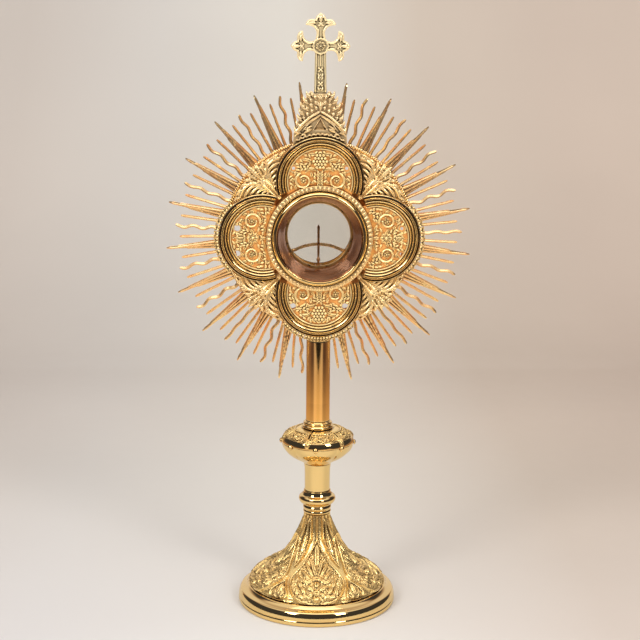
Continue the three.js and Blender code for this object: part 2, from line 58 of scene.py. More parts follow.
FRONT = np.array([0.0, -1.0, 0.0])
rng = np.random.default_rng(11)


# ------------------------------------------------------------------ shapes
def grid_faces(rows, cols, wrap_rows=False):
    """Four-cornered faces between rings of points, each ring closed on itself."""
    i = np.arange(rows if wrap_rows else rows - 1)[:, None]
    j = np.arange(cols)[None, :]
    below, right = (i + 1) % rows, (j + 1) % cols
    corners = [i * cols + j, i * cols + right, below * cols + right, below * cols + j]
    return np.stack(np.broadcast_arrays(*corners), -1).reshape(-1, 4)


def loft(rings, closed=False):
    """A skin over a stack of rings, closed at its ends or round on itself."""
    rings = np.asarray(rings, float)
    if not closed:
        first, last = (np.repeat(ring.mean(0)[None], len(ring), 0)[None] for ring in (rings[0], rings[-1]))
        rings = np.concatenate([first, rings, last])
    return rings.reshape(-1, 3), grid_faces(len(rings), rings.shape[1], wrap_rows=closed)


def joined(shapes):
    """Several shapes as one."""
    verts, faces, base = [], [], 0
    for v, f in shapes:
        verts.append(v)
        faces.append(f + base)
        base += len(v)
    return np.vstack(verts), np.vstack(faces)


def moved(shape, turn=0.0, x=0.0, y=0.0, z=0.0):
    """The shape turned anticlockwise as seen from the front, then shifted."""
    v, f = shape
    c, s = math.cos(math.radians(turn)), math.sin(math.radians(turn))
    out = np.stack([v[:, 0] * c - v[:, 2] * s, v[:, 1], v[:, 0] * s + v[:, 2] * c], 1)
    return out + (x, y, z), f


def sweep(path, section, closed=False):
    """A section, in offsets sideways and to the front, carried along a path."""
    path = np.asarray(path, float)
    ahead = np.roll(path, -1, 0) - np.roll(path, 1, 0)
    if not closed:
        ahead[0], ahead[-1] = path[1] - path[0], path[-1] - path[-2]
    ahead /= np.linalg.norm(ahead, axis=1)[:, None]
    side = np.cross(ahead, FRONT)
    side /= np.linalg.norm(side, axis=1)[:, None]
    above = np.cross(side, ahead)
    section = np.asarray(section, float)
    section = np.broadcast_to(section, (len(path), *section.shape[-2:]))
    rings = path[:, None] + side[:, None] * section[..., :1] + above[:, None] * section[..., 1:]
    return loft(rings, closed)


def circle(sides):
    """Points round a circle of radius 1."""
    a = np.linspace(0, TAU, sides, endpoint=False)
    return np.stack([np.cos(a), np.sin(a)], 1)


def tube(path, radii, flat=1.0, sides=8):
    """A round or flattened bar along a path, with rounded ends."""
    path = np.asarray(path, float)
    radii = np.broadcast_to(np.asarray(radii, float), (len(path),)).copy()
    radii[0] *= 0.55
    radii[-1] *= 0.55
    return sweep(path, radii[:, None, None] * circle(sides) * (1, flat))


def bar(points, y, radii, flat=1.0):
    """A tube through points (x, z) at a depth."""
    return tube(on_panel(points, y), radii, flat)


def ball(x, z, y, radius, deep=1.0, steps=6, sides=10):
    """A small round grain, deep times as deep as it is wide."""
    a = np.linspace(0.12, math.pi - 0.12, steps)[:, None]
    across, tall = (radius * np.sin(a) * c for c in circle(sides).T)
    depth = np.broadcast_to(y - radius * deep * np.cos(a), across.shape)
    return loft(np.stack([x + across, depth, z + tall], -1))


def heading(a):
    """The direction (x, z) at an angle."""
    return np.array([math.cos(a), math.sin(a)])


def across(out):
    """A direction turned a quarter turn anticlockwise."""
    return np.array([-out[1], out[0]])


def on_panel(points, y):
    """Points (x, z) placed at a depth."""
    points = np.asarray(points, float)
    return np.stack([points[:, 0], np.broadcast_to(y, (len(points),)), points[:, 1]], 1)


def bezier(a, b, c, steps=12):
    t = np.linspace(0, 1, steps)[:, None]
    a, b, c = (np.asarray(p, float) for p in (a, b, c))
    return (1 - t) ** 2 * a + 2 * t * (1 - t) * b + t ** 2 * c


def spiral(x, z, start, end, angle, turns, steps=28):
    """Points on a spiral about (x, z), its radius going from start to end, from an angle in degrees."""
    t = np.linspace(0, 1, steps)
    a = math.radians(angle) + TAU * turns * t
    r = start + (end - start) * t
    return np.stack([x + r * np.cos(a), z + r * np.sin(a)], 1)


def leaf(base, bend, tip, width, height, y, teeth=0, veins=True):
    """A veined leaf lying on a panel, along a curve from its base to its tip."""
    line = bezier(base, bend, tip, 14 if teeth else 9)
    t = np.linspace(0, 1, len(line))
    half = width * np.sin(math.pi * np.clip(t * 0.93 + 0.05, 0, 1)) ** 0.8
    if teeth:
        half = half * (1 - 0.28 * (np.arange(len(line)) % 2))
    crown = [(-1, 0), (-0.7, 0.62), (-0.22, 1), (0, 0.62 if veins else 1.05), (0.22, 1), (0.7, 0.62),
        (1, 0), (0.5, -0.7), (-0.5, -0.7)]
    rise = height * np.sin(math.pi * np.clip(t * 0.8 + 0.15, 0, 1))
    section = np.array(crown)[None] * np.stack([half, rise], 1)[:, None]
    return sweep(on_panel(line, y), section)


def leaves(rows, side=1):
    """Leaves from rows of what leaf() takes, mirrored in z for the side -1."""
    return [leaf(*((x, side * z) for x, z in row[:3]), *row[3:]) for row in rows]


def rosette(x, z, y, radius, petals, height, turn=0.0):
    """A flower with a button in its middle."""
    shapes = [ball(x, z, y - height * 0.5, radius * 0.3, deep=0.9)]
    for i in range(petals):
        a = math.radians(turn) + TAU * i / petals
        out = heading(a)
        centre = np.array([x, z])
        shapes.append(leaf(centre + out * radius * 0.2, centre + out * radius * 0.6, centre + out * radius,
                           radius * 0.34, height, y))
    return joined(shapes)


def sheet(outline, front, back, holes=(), ease=0.4):
    """A flat piece with eased edges, from its outline and holes as (x, z) points."""
    data = bpy.data.curves.new("outline", "CURVE")
    data.dimensions = "2D"
    data.fill_mode = "BOTH"
    data.extrude = (back - front) / 2 - ease
    data.bevel_depth = ease
    data.bevel_resolution = 1
    data.offset = -ease
    for ring in (outline, *holes):
        spline = data.splines.new("POLY")
        spline.points.add(len(ring) - 1)
        for point, (x, z) in zip(spline.points, ring):
            point.co = (x, z, 0, 1)
        spline.use_cyclic_u = True
    holder = bpy.data.objects.new("outline", data)
    mesh = bpy.data.meshes.new_from_object(holder)
    mesh.calc_loop_triangles()
    x, z, deep = np.array([v.co for v in mesh.vertices]).T
    tris = np.array([t.vertices for t in mesh.loop_triangles])
    bpy.data.objects.remove(holder)
    bpy.data.curves.remove(data)
    bpy.data.meshes.remove(mesh)
    return np.stack([x, (front + back) / 2 - deep, z], 1), np.concatenate([tris, tris[:, 2:]], 1)


def ring_points(x, z, radius, sides):
    """Points (x, z) round a circle, such as a hole."""
    return [(x + radius * c, z + radius * s) for c, s in circle(sides)]


def mirrored(points):
    """Points of one half, given from one end of the axis to the other, with their mirror images in z."""
    points = [tuple(p) for p in points]
    return points + [(x, -z) for x, z in reversed(points) if abs(z) > 1e-6]


def profile_curve(points, steps):
    """A smooth curve through (radius, height) points, evenly spaced along its length."""
    p = np.asarray(points, float)
    along = np.concatenate([[0], np.cumsum(np.linalg.norm(np.diff(p, axis=0), axis=1))])
    slope = np.gradient(p, along, axis=0)
    t = np.linspace(0, along[-1], steps)
    k = np.clip(np.searchsorted(along, t, side="right") - 1, 0, len(p) - 2)
    h = (along[k + 1] - along[k])[:, None]
    u = ((t - along[k]) / h[:, 0])[:, None]
    smooth = ((2 * u ** 3 - 3 * u ** 2 + 1) * p[k] + (u ** 3 - 2 * u ** 2 + u) * h * slope[k]
              + (3 * u ** 2 - 2 * u ** 3) * p[k + 1] + (u ** 3 - u ** 2) * h * slope[k + 1])
    return smooth, t


def turned(outline, sides=128, rounding=0.5, axis="z"):
    """A closed outline of (radius, height) points turned about an axis, with its corners eased."""
    pts = np.asarray(outline, float)
    eased = []
    for i in range(len(pts)):
        here, before, after = pts[i], pts[i - 1], pts[(i + 1) % len(pts)]
        back, on = before - here, after - here
        lengths = np.linalg.norm(back), np.linalg.norm(on)
        back, on = back / lengths[0], on / lengths[1]
        reach = min(rounding, 0.4 * min(lengths))
        start, end = here + back * reach, here + on * reach
        corner = [start, 0.25 * start + 0.5 * here + 0.25 * end, end]
        if lengths[0] > 6 * reach:
            corner.insert(0, here + back * 2 * reach)
        if lengths[1] > 6 * reach:
            corner.append(here + on * 2 * reach)
        eased += corner
    eased = np.array(eased)
    a = np.linspace(0, TAU, sides, endpoint=False)[:, None]
    r, h = eased[None, :, 0], np.broadcast_to(eased[None, :, 1], (sides, len(eased)))
    if axis == "z":
        grid = np.stack([r * np.sin(a), -r * np.cos(a), h], -1)
    else:
        grid = np.stack([r * np.cos(a), h, r * np.sin(a)], -1)
    return grid.reshape(-1, 3), grid_faces(sides, len(eased), wrap_rows=True)


# ------------------------------------------------------------------ objects
def make(name, shape, material, body="stand", node=None, z=0.0, sharp=35, voxel=0.0):
    """Turns a shape in millimetres into a piece that rides on a body.

    The piece stands for the CAD node whose name it starts with, unless node names another or is "".
    A voxel size runs the shape together into one casting.
    """
    verts, faces = shape
    mesh = bpy.data.meshes.new(name)
    corners = [face[:3] if face[2] == face[3] else face for face in faces.tolist()]
    mesh.from_pydata(((np.asarray(verts) + (0, 0, z)) * MM).tolist(), [], corners)
    work = bmesh.new()
    work.from_mesh(mesh)
    bmesh.ops.remove_doubles(work, verts=work.verts, dist=1e-6)
    bmesh.ops.dissolve_degenerate(work, edges=work.edges, dist=1e-7)
    bmesh.ops.recalc_face_normals(work, faces=work.faces)
    work.to_mesh(mesh)
    work.free()
    piece = bpy.data.objects.new(name, mesh)
    bpy.context.scene.collection.objects.link(piece)
    if voxel:
        remesh = piece.modifiers.new("cast", "REMESH")
        remesh.mode = "VOXEL"
        remesh.voxel_size = voxel * MM
        smooth = piece.modifiers.new("soften", "SMOOTH")
        smooth.iterations = 1
        smooth.factor = 0.5
        cast = bpy.data.meshes.new_from_object(piece.evaluated_get(bpy.context.evaluated_depsgraph_get()))
        piece.modifiers.clear()
        piece.data = cast
        bpy.data.meshes.remove(mesh)
        cast.name = name
        mesh = cast
    mesh.materials.clear()
    mesh.materials.append(material)
    mesh.shade_smooth()
    if not voxel:
        mesh.set_sharp_from_angle(angle=math.radians(sharp))
    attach(piece, body)
    if node is None:
        node = name.rsplit("_", 1)[0]
    if node:
        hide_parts(node)


# ------------------------------------------------------------------ materials
class Nodes:
    """The node tree of a new material, or of the world, with short ways to add to it."""

    def __init__(self, name, family="materials"):
        self.owner = getattr(bpy.data, family).new(name)
        self.owner.use_nodes = True
        self.tree = self.owner.node_tree
        self.shader = self.tree.nodes.get("Principled BSDF")
        self.place = self.add("TexCoord").outputs["Object" if self.shader else "Generated"]

    def add(self, kind, inputs=None, **settings):
        node = self.tree.nodes.new("ShaderNode" + kind)
        for key, value in settings.items():
            setattr(node, key, value)
        for key, value in (inputs or {}).items():
            if isinstance(value, bpy.types.NodeSocket):
                self.tree.links.new(value, node.inputs[key])
            else:
                node.inputs[key].default_value = value
        return node

    def link(self, output, socket):
        self.tree.links.new(output, self.shader.inputs[socket])

    def calc(self, operation, a, b=0.0):
        return self.add("Math", {0: a, 1: b}, operation=operation).outputs[0]

    def noise(self, scale, detail=3.0):
        return self.add("TexNoise", {"Vector": self.place, "Scale": scale, "Detail": detail,
                                     "Roughness": 0.55}).outputs["Fac"]

    def ramp(self, value, stops):
        node = self.add("ValToRGB", {"Fac": value})
        while len(node.color_ramp.elements) < len(stops):
            node.color_ramp.elements.new(0.5)
        for element, (at, color) in zip(node.color_ramp.elements, stops):
            element.position = at
            element.color = (*color, 1)
        return node.outputs["Color"]

    def greys(self, value, stops):
        return self.ramp(value, [(at, (level,) * 3) for at, level in stops])

    def fit(self, value, low, high, start=0.0, end=1.0, **settings):
        """The value, with low to high fitted to start to end."""
        node = self.add("MapRange", {"Value": value, "From Min": low, "From Max": high, "To Min": start,
                                     "To Max": end}, **settings)
        return node.outputs["Result"]

    def between(self, value, low, high):
        """Noise, most of which lies between 0.3 and 0.7, fitted to low to high."""
        return self.fit(value, 0.3, 0.7, low, high)

    def mix(self, factor, a, b, blend="MIX"):
        return self.add("Mix", {0: factor, 6: a, 7: b}, data_type="RGBA", blend_type=blend).outputs[2]


def gilding(name, color, deep, rough, grain_scale, grain_height, pitting=0.0, shade=0.0, reach=2.5,
        body=1.0, mottle=0.3, mottle_scale=38.0, hollow=(0.32, 0.86), glow=0.0, glow_color=(1.0, 0.6, 0.22)):
    """Gilt metal: colour that drifts and darkens in its hollows, a drifting polish and a fine surface.

    Hollows are what metal within reach hides from the open; hollow gives where they start and end.
    In them painted shade darkens the colour towards a dark, redder copy of deep.
    Small relief lights itself by many reflections. A body under 1 and the glow stand for that;
    the glow is painted light, a faint emission that the painted shade dims in the hollows.
    """
    m = Nodes(name)
    drift = m.noise(mottle_scale, 4.0)
    tone = m.mix(m.between(drift, 0.0, mottle), (*color, 1), (*deep, 1))
    if shade:
        open_sky = m.add("AmbientOcclusion", {"Distance": reach * MM}, samples=6).outputs["AO"]
        # painted shade: the colour in the hollows, darkened towards a dark, redder copy of deep
        painted_shade = [c * (1 - shade) * warm for c, warm in zip(deep, (1.5, 0.9, 0.9))]
        openness = m.greys(open_sky, [(hollow[0], 0), (hollow[1], 1)])
        tone = m.mix(openness, (*painted_shade, 1), tone)
        # painted light: a faint emission in the glow's colour, dimmed in the hollows by the painted shade
        if glow:
            m.link(m.mix(openness, (0, 0, 0, 1), (*glow_color, 1)), "Emission Color")
            m.shader.inputs["Emission Strength"].default_value = glow
    m.link(tone, "Base Color")
    m.link(m.between(m.noise(160.0, 5.0), rough * 0.7, rough * 1.5), "Roughness")
    m.shader.inputs["Metallic"].default_value = body
    bump = m.add("Bump", {"Height": m.noise(grain_scale), "Distance": grain_height * MM, "Strength": 1.0})
    if pitting:
        cells = m.add("TexVoronoi", {"Vector": m.place, "Scale": 900.0})
        bump = m.add("Bump", {"Height": cells.outputs["Distance"], "Distance": pitting * MM,
            "Strength": 0.8, "Normal": bump.outputs["Normal"]})
    m.link(bump.outputs["Normal"], "Normal")
    return m.owner


# Each gilding below with a shade paints shade into its hollows, and each with a glow paints on a faint
# light of its own.
polished = gilding("polished_gold", (1.0, 0.74, 0.34), (0.96, 0.64, 0.26), 0.06, 60.0, 0.01, shade=0.7,
                   reach=1.4)
rim_gold = gilding("rim_gold", (1.0, 0.78, 0.4), (0.96, 0.64, 0.3), 0.09, 60.0, 0.01, shade=0.85, reach=2.0,
                   body=0.96, glow=0.04)
chased = gilding("chased_gold", (1.0, 0.8, 0.44), (0.88, 0.5, 0.24), 0.17, 800.0, 0.1, pitting=0.1,
    shade=0.94, reach=2.2, body=0.74, hollow=(0.4, 0.9), glow=0.2)
dome_gold = gilding("dome_gold", (1.0, 0.76, 0.32), (0.9, 0.46, 0.16), 0.2, 800.0, 0.1, pitting=0.1,
    shade=0.94, reach=2.6, body=0.88, hollow=(0.46, 0.97), glow=0.1)
gable_gold = gilding("gable_gold", (1.0, 0.84, 0.5), (0.88, 0.5, 0.24), 0.17, 800.0, 0.1, pitting=0.1,
    shade=0.96, reach=2.8, body=0.68, hollow=(0.52, 0.97), glow=0.22, glow_color=(1.0, 0.62, 0.28))
lace_gold = gilding("lace_gold", (1.0, 0.84, 0.44), (0.92, 0.58, 0.24), 0.2, 800.0, 0.06, pitting=0.05,
                    shade=0.92, reach=1.3, body=0.6, hollow=(0.42, 0.92), glow=0.28)
cross_gold = gilding("cross_gold", (1.0, 0.88, 0.56), (0.92, 0.62, 0.34), 0.18, 800.0, 0.08, pitting=0.08,
    shade=0.96, reach=2.0, body=0.5, hollow=(0.6, 0.97), glow=0.36, glow_color=(1.0, 0.74, 0.36))
rays_gold = gilding("ray_gold", (1.0, 0.83, 0.46), (0.86, 0.46, 0.22), 0.2, 500.0, 0.03, shade=0.85,
    reach=1.6, body=0.86, mottle=0.7, mottle_scale=90.0, glow=0.07, glow_color=(1.0, 0.42, 0.14))
# The funnel's gilding is a dark, redder copy of the polished gold: painted shade for the deep funnel round
# the glass.
funnel_painted_shade = gilding("funnel_painted_shade", (0.5, 0.245, 0.125), (0.21, 0.09, 0.05), 0.13, 60.0, 0.01, body=0.97)
pan_gold = gilding("pan_gold", (1.0, 0.58, 0.18), (0.74, 0.28, 0.07), 0.48, 400.0, 0.1, shade=0.7,
    reach=1.8, body=0.3, mottle=1.0, mottle_scale=190.0, glow=0.2, glow_color=(1.0, 0.42, 0.09))
back_gold = gilding("back_gold", (0.7, 0.36, 0.12), (0.5, 0.22, 0.07), 0.4, 400.0, 0.06, shade=0.8,
    reach=2.0, body=0.7)
# The post's gilding is a darker copy of the bow's gold: painted shade.
shaded_wire_gold = gilding("shaded_wire_gold", (0.6, 0.36, 0.18), (0.36, 0.18, 0.08), 0.3, 500.0, 0.02)
bow_gold = gilding("bow_gold", (1.0, 0.72, 0.36), (0.8, 0.5, 0.24), 0.25, 500.0, 0.02, body=0.72)
ring_gold = gilding("ring_gold", (0.9, 0.6, 0.26), (0.7, 0.4, 0.16), 0.3, 200.0, 0.02)


def plain_steel():
    m = Nodes("plated_steel")
    m.link(m.ramp(m.noise(220.0), [(0.35, (0.5, 0.48, 0.45)), (0.65, (0.66, 0.64, 0.6))]), "Base Color")
    m.link(m.between(m.noise(500.0), 0.24, 0.42), "Roughness")
    m.shader.inputs["Metallic"].default_value = 1.0
    return m.owner


def clear_glass():
    """Thin clear plate: what lies behind shows through a faint tint, under a faint reflection."""
    m = Nodes("clear_glass")
    tint = m.ramp(m.noise(30.0), [(0.3, (0.953, 0.95, 0.936)), (0.7, (0.963, 0.958, 0.946))])
    through = m.add("BsdfTransparent", {"Color": tint})
    shine = m.add("BsdfGlossy", {"Roughness": m.between(m.noise(90.0), 0.0, 0.02)})
    edge_on = m.add("LayerWeight", {"Blend": 0.5}).outputs["Facing"]
    share = m.fit(m.calc("POWER", edge_on, 5.0), 0.0, 1.0, 0.034)
    both = m.add("MixShader", {0: share, 1: through.outputs[0], 2: shine.outputs[0]})
    m.tree.links.new(both.outputs[0], m.tree.nodes["Material Output"].inputs["Surface"])
    m.tree.nodes.remove(m.shader)
    return m.owner


steel = plain_steel()
glass = clear_glass()

# ------------------------------------------------------------------ foot
DOME = [(70.2, 18.9), (71, 21.2), (70.4, 24.2), (67.4, 27.6), (61.4, 32.4), (56, 35.8), (50.5, 39.2),
    (44.2, 43), (38.2, 47.6), (33.8, 52), (30, 57), (25.8, 62.6), (22.1, 68.4), (18.8, 74.4), (16.2, 80.6),
    (14.6, 86), (13.7, 91), (13.4, 95.2)]
PETALS = 5
PETAL_TURN = math.radians(-1.5)
# Half the width of a petal against the distance up the dome from its rim.
PETAL_UP = [0, 1.5, 2.5, 5, 9, 15, 22, 27, 32, 38, 42, 48, 55, 63, 71, 75]
PETAL_HALF = [-6, 0, 9, 17, 23, 26.6, 28.2, 27.6, 25.6, 21.6, 18.4, 13.6, 9.4, 5, 1.2, -1]
# Raised forms inside a petal: sideways, upwards, lean in degrees, half length, half width, height.
PETAL_FORMS = [
    (0, 58, 0, 13, 3.6, 1.7), (3.6, 46, 14, 9, 2.4, 1.5), (8, 43, 28, 8, 2.3, 1.4), (0, 43, 0, 7, 2.2, 1.9),
    (12, 36.5, 40, 7, 2.2, 1.3), (0, 31.5, 90, 5.6, 3.2, 1.6), (6.4, 28.5, -50, 5, 2.6, 1.5),
    (0, 24, 0, 4.2, 3, 2.0), (12.6, 28, 64, 6, 2.6, 1.5), (17.6, 24.5, 10, 5.6, 2.8, 1.5),
    (7.4, 19.5, 60, 5.4, 2.6, 1.5), (14.5, 17, 24, 5.8, 2.6, 1.5), (20.4, 15, -14, 5.4, 2.4, 1.4),
    (0, 14, 90, 4.6, 3.4, 1.8), (6.6, 11, -40, 5.4, 2.4, 1.6), (13.2, 9, -60, 5, 2.3, 1.4),
    (0, 7, 0, 3, 3.6, 1.5), (20.8, 31.5, 24, 5, 1.9, 1.1), (17.4, 9.6, -72, 4, 1.8, 1.2),
]


def bump_at(x, up, form):
    """The height of one almond-shaped form, with a crease along it."""
    x0, up0, lean, length, width, height = form
    c, s = math.cos(math.radians(lean)), math.sin(math.radians(lean))
    along = (x - x0) * s + (up - up0) * c
    across = (x - x0) * c - (up - up0) * s
    inside = np.clip(1 - (along / length) ** 2 - (across / width) ** 2, 0, 1)
    crease = 1 - 0.4 * np.exp(-((across / (0.22 * width)) ** 2))
    return height * np.sqrt(inside) * crease


def ridge(distance, centre, width, height):
    """A rounded line where the distance is near its centre."""
    return height * np.clip(1 - ((distance - centre) / width) ** 2, 0, 1) ** 0.6


def grain(points, scale, height):
    """Small rounded grains, each at a point of a scattered set."""
    out = np.empty(len(points))
    for i, p in enumerate(points):
        near, _ = noise.voronoi(Vector(p) / scale)
        out[i] = near[0]
    return height * (1 - np.clip(1.9 * out, 0, 1) ** 2)


def dome_relief(angle, radius, up, points):
    """Height of the chasing above the plain dome."""
    step = TAU / PETALS
    local = (angle - PETAL_TURN + step / 2) % step - step / 2
    x = local * radius
    half = np.interp(up, PETAL_UP, PETAL_HALF)
    slope = np.interp(up, PETAL_UP, np.gradient(PETAL_HALF, PETAL_UP))
    outside = (np.abs(x) - half) / np.sqrt(1 + slope ** 2)
    grains = grain(points, 2.2, 1.1)
    forms = np.zeros(len(x))
    for form in PETAL_FORMS:
        forms = np.maximum(forms, bump_at(np.abs(x), up, form))
    inner = np.maximum(forms, 0.75 * grains) * np.clip(-outside / 1.2, 0, 1)
    frame_line = ridge(outside, 0.7, 1.1, 1.9) + ridge(outside, 6.4, 1.0, 1.6) - ridge(
        outside, 3.6, 2.4, 1.3)
    rim_side = np.clip((33 - up) / 3, 0, 1)
    between = step / 2 - np.abs(local)
    side = between * radius
    leaves = np.zeros(len(x))
    for form in [(0, 15, 0, 10, 2.6, 1.5), (6, 11, 42, 8, 2.2, 1.3), (11, 7.4, 58, 7, 1.9, 1.1),
            (3, 5, 60, 4, 1.6, 1)]:
        leaves = np.maximum(leaves, bump_at(side, up, form))
    corner = np.maximum(leaves, 0.6 * grains) * np.clip((outside - 7.6) / 1.0, 0, 1) * rim_side
    shoulder = np.clip((up - 33) / 4, 0, 1) * np.clip((66 - up) / 10, 0, 1)
    upper = np.clip((outside - 7.4) / 1.2, 0, 1) * shoulder * (1.1 * grains + 0.3)
    flutes = np.clip((up - 50) / 14, 0, 1) * np.clip((97 - up) / 3, 0, 1)
    ribs = flutes * np.clip((outside - 4.6) / 1.5, 0, 1) * 2.3 * np.abs(
        np.cos(angle * 10 - 10 * PETAL_TURN))
    collar_leaf = bump_at(x, up, (0, 91, 0, 7, 2.4, 0.9))
    foot_line = np.clip(up / 2.0, 0, 1)
    return foot_line * (1.6 * inner + frame_line + 1.5 * corner + upper + ribs + collar_leaf) - 1.1


def relief_lathe(profile, steps, sides, relief, inside):
    """A turned shell with a relief on its outer face and a plain inner face."""
    curve, along = profile_curve(profile, steps)
    tangent = np.gradient(curve, axis=0)
    normal = np.stack([tangent[:, 1], -tangent[:, 0]], 1)
    normal /= np.linalg.norm(normal, axis=1)[:, None]
    angle = np.linspace(0, TAU, sides, endpoint=False)
    a, up = np.meshgrid(angle, along, indexing="ij")
    r = np.broadcast_to(curve[:, 0], a.shape)
    z = np.broadcast_to(curve[:, 1], a.shape)
    points = np.stack([r * np.sin(a), -r * np.cos(a), z], -1).reshape(-1, 3)
    height = relief(a.ravel(), r.ravel(), up.ravel(), points).reshape(a.shape)
    r = r + height * normal[:, 0]
    z = z + height * normal[:, 1]
    inner = np.asarray(inside, float)
    r = np.concatenate([r, np.broadcast_to(inner[:, 0], (sides, len(inner)))], 1)
    z = np.concatenate([z, np.broadcast_to(inner[:, 1], (sides, len(inner)))], 1)
    a = angle[:, None]
    grid = np.stack([r * np.sin(a), -r * np.cos(a), z], -1)
    return grid.reshape(-1, 3), grid_faces(sides, r.shape[1], wrap_rows=True)


DOME_INSIDE = [(12.6, 95.0), (8, 94.8), (8, 93), (11.6, 93), (14.4, 79), (27.5, 55.5), (48.5, 37.2),
    (60, 30.4), (67, 25), (67, 19)]
make("foot_dome_chased", relief_lathe(DOME, 150, 640, dome_relief, DOME_INSIDE), dome_gold, sharp=60)

TORUS_R = 12.0
TORUS = [(70 + TORUS_R * math.cos(a), 6.8 + TORUS_R * math.sin(a)) for a in np.radians(
    np.linspace(-2, 30, 8))]
PLINTH = [(73, 0), (80.8, 0), (81.9, 0.9), (82.3, 2.6), (82.1, 4.6), (81.4, 5.6), *TORUS, (79.8, 13.9),
          (78.6, 14.6), (76.8, 15), (74.8, 15.8), (72.9, 17.2), (71.9, 18.5), (70.4, 18.9), (66, 18.5),
          (66, 16.4), (73.2, 14.6), (77.6, 6), (77, 2), (73, 2)]
make("foot_plinth_turned", turned(PLINTH, 256, 0.7), polished, sharp=50)

# ------------------------------------------------------------------ stem
BORE = 5.0
STEM = [
    ("neck_collar_turned", 0.5, [
        (BORE, 95.5), (12.9, 95.5), (14.1, 96.3), (14.6, 97.4), (14.3, 98.6), (13.8, 99.5), (14.2, 100.3),
        (14.8, 101.6), (14.6, 103), (13.9, 103.9), (13.6, 105.2), (15.2, 105.9), (17.6, 107.2), (19, 109.4),
        (19.3, 111.4), (18.8, 113.4), (17.2, 114.9), (15.6, 115.6), (14.9, 117), (14.2, 118.6), (14, 120.4),
        (BORE, 120.4)]),
    ("lower_stem_tube", 0.4, [
        (11.7, 120.9), (13.2, 120.9), (13.2, 135), (13.4, 144), (14.2, 149.6), (11.7, 149.6)]),
    ("knop_collar_turned", 0.4, [
        (BORE, 187.7), (15.2, 187.7), (16, 188.8), (15.9, 190), (14.8, 190.9), (14.2, 191.4), (14.6, 192),
        (15, 193), (14.6, 194), (13.5, 194.7), (12.7, 195.5), (BORE, 195.5)]),
    ("upper_stem_tube", 0.4, [(10.6, 195.9), (12.3, 195.9), (12.2, 215), (12.2, 280.4), (10.6, 280.4)]),
    ("head_socket_turned", 0.3, [(BORE, 280.8), (12.3, 280.8), (12.3, 285.5), (BORE, 285.5)]),
]
for name, easing, outline in STEM:
    make(name, turned(outline, 160, easing), polished, sharp=50)

KNOP_LOBES = 10
STUD_TURN = math.radians(-5)
DROP_TURN = math.radians(-19)


def knop_lobing(angle, _radius, up, _points):
    """Shallow lobes, with a crease between each two."""
    wave = np.abs(np.sin((angle - STUD_TURN) * KNOP_LOBES / 2)) ** 0.7
    return -0.9 * (1 - wave) * np.clip(up / 9, 0, 1) - 0.05


KNOP_LOWER = [(14.9, 150), (16.6, 151.6), (20.4, 153.8), (25.6, 156.6), (30.4, 160), (34.2, 163.8),
    (36.5, 168), (37.3, 172.4)]
KNOP_LOWER_INSIDE = [(35.7, 172.4), (34.4, 168.4), (23.4, 158.8), (14, 153.6), (5, 153.6), (5, 150)]
make("knop_lower_lobed", relief_lathe(KNOP_LOWER, 60, 360, knop_lobing, KNOP_LOWER_INSIDE), polished,
     node="knop_lower_shell", sharp=60)

KNOP_FORMS = [(0, 9.6, 90, 4.4, 1.9, 1.3), (4.6, 10.6, 30, 3.4, 1.5, 1.2), (0, 13.2, 0, 2.8, 1.7, 1.3),
              (3.8, 14.8, 60, 3.2, 1.3, 1.1), (7.6, 8.6, 20, 3, 1.3, 1.1), (0, 17.2, 0, 2, 2.2, 1)]


def knop_relief(angle, radius, up, points):
    """Scalloped cartouches of small leaves and grains, with a leafy drop between each two."""
    step = TAU / 6
    local = (angle - DROP_TURN + step) % step - step / 2
    x = local * radius
    half = 0.5 * step * radius - 0.8
    scallop = 6.8 + 2.4 * (1 - np.abs(np.cos((angle - DROP_TURN) * 9))) ** 0.8
    inside = np.minimum(np.minimum(half - np.abs(x), up - scallop), 21 - up)
    forms = np.zeros(len(x))
    for form in KNOP_FORMS:
        forms = np.maximum(forms, bump_at(np.abs(x), up, form))
    grains = grain(points, 2.4, 1.5)
    field = np.maximum(1.5 * forms, grains) * np.clip((inside - 1.2) / 0.8, 0, 1)
    edge = ridge(inside, 0.6, 0.9, 1.3)
    apart = 0.5 * step * radius - np.abs(x)
    drop = np.maximum(bump_at(apart, up, (0, 6.4, 0, 5.6, 3.0, 2.6)), bump_at(
        apart, up, (2.6, 8.6, 40, 3, 1.6, 2.0)))
    notch = 1.3 * np.clip(1 - apart / 1.0, 0, 1) * np.clip((up - 13) / 2, 0, 1)
    return np.maximum(field + edge - 0.5, drop - 0.3) * np.clip((23 - up) / 1.5, 0, 1) - notch - 0.3


KNOP_UPPER = [(37.3, 172.9), (37.2, 175), (36, 178.2), (33.2, 181.4), (29.2, 184), (24.6, 185.9),
    (19.8, 187), (16.2, 187.4)]
KNOP_UPPER_INSIDE = [(10, 187.2), (10, 185), (18.5, 185), (31.6, 179.4), (35.7, 172.9)]
make("knop_upper_chased", relief_lathe(KNOP_UPPER, 76, 640, knop_relief, KNOP_UPPER_INSIDE), dome_gold,
     node="knop_upper_shell", sharp=60)
BAND = [(26.4 + 11 * math.cos(a), 173.4 + 11 * math.sin(a)) for a in np.radians(np.linspace(0, 36, 10))]
BAND = [(35.4, 173), (37.3, 172.9), *BAND, (33.4, 179.4)]
make("knop_band_turned", turned(BAND, 192, 0.3), polished, node="", sharp=50)

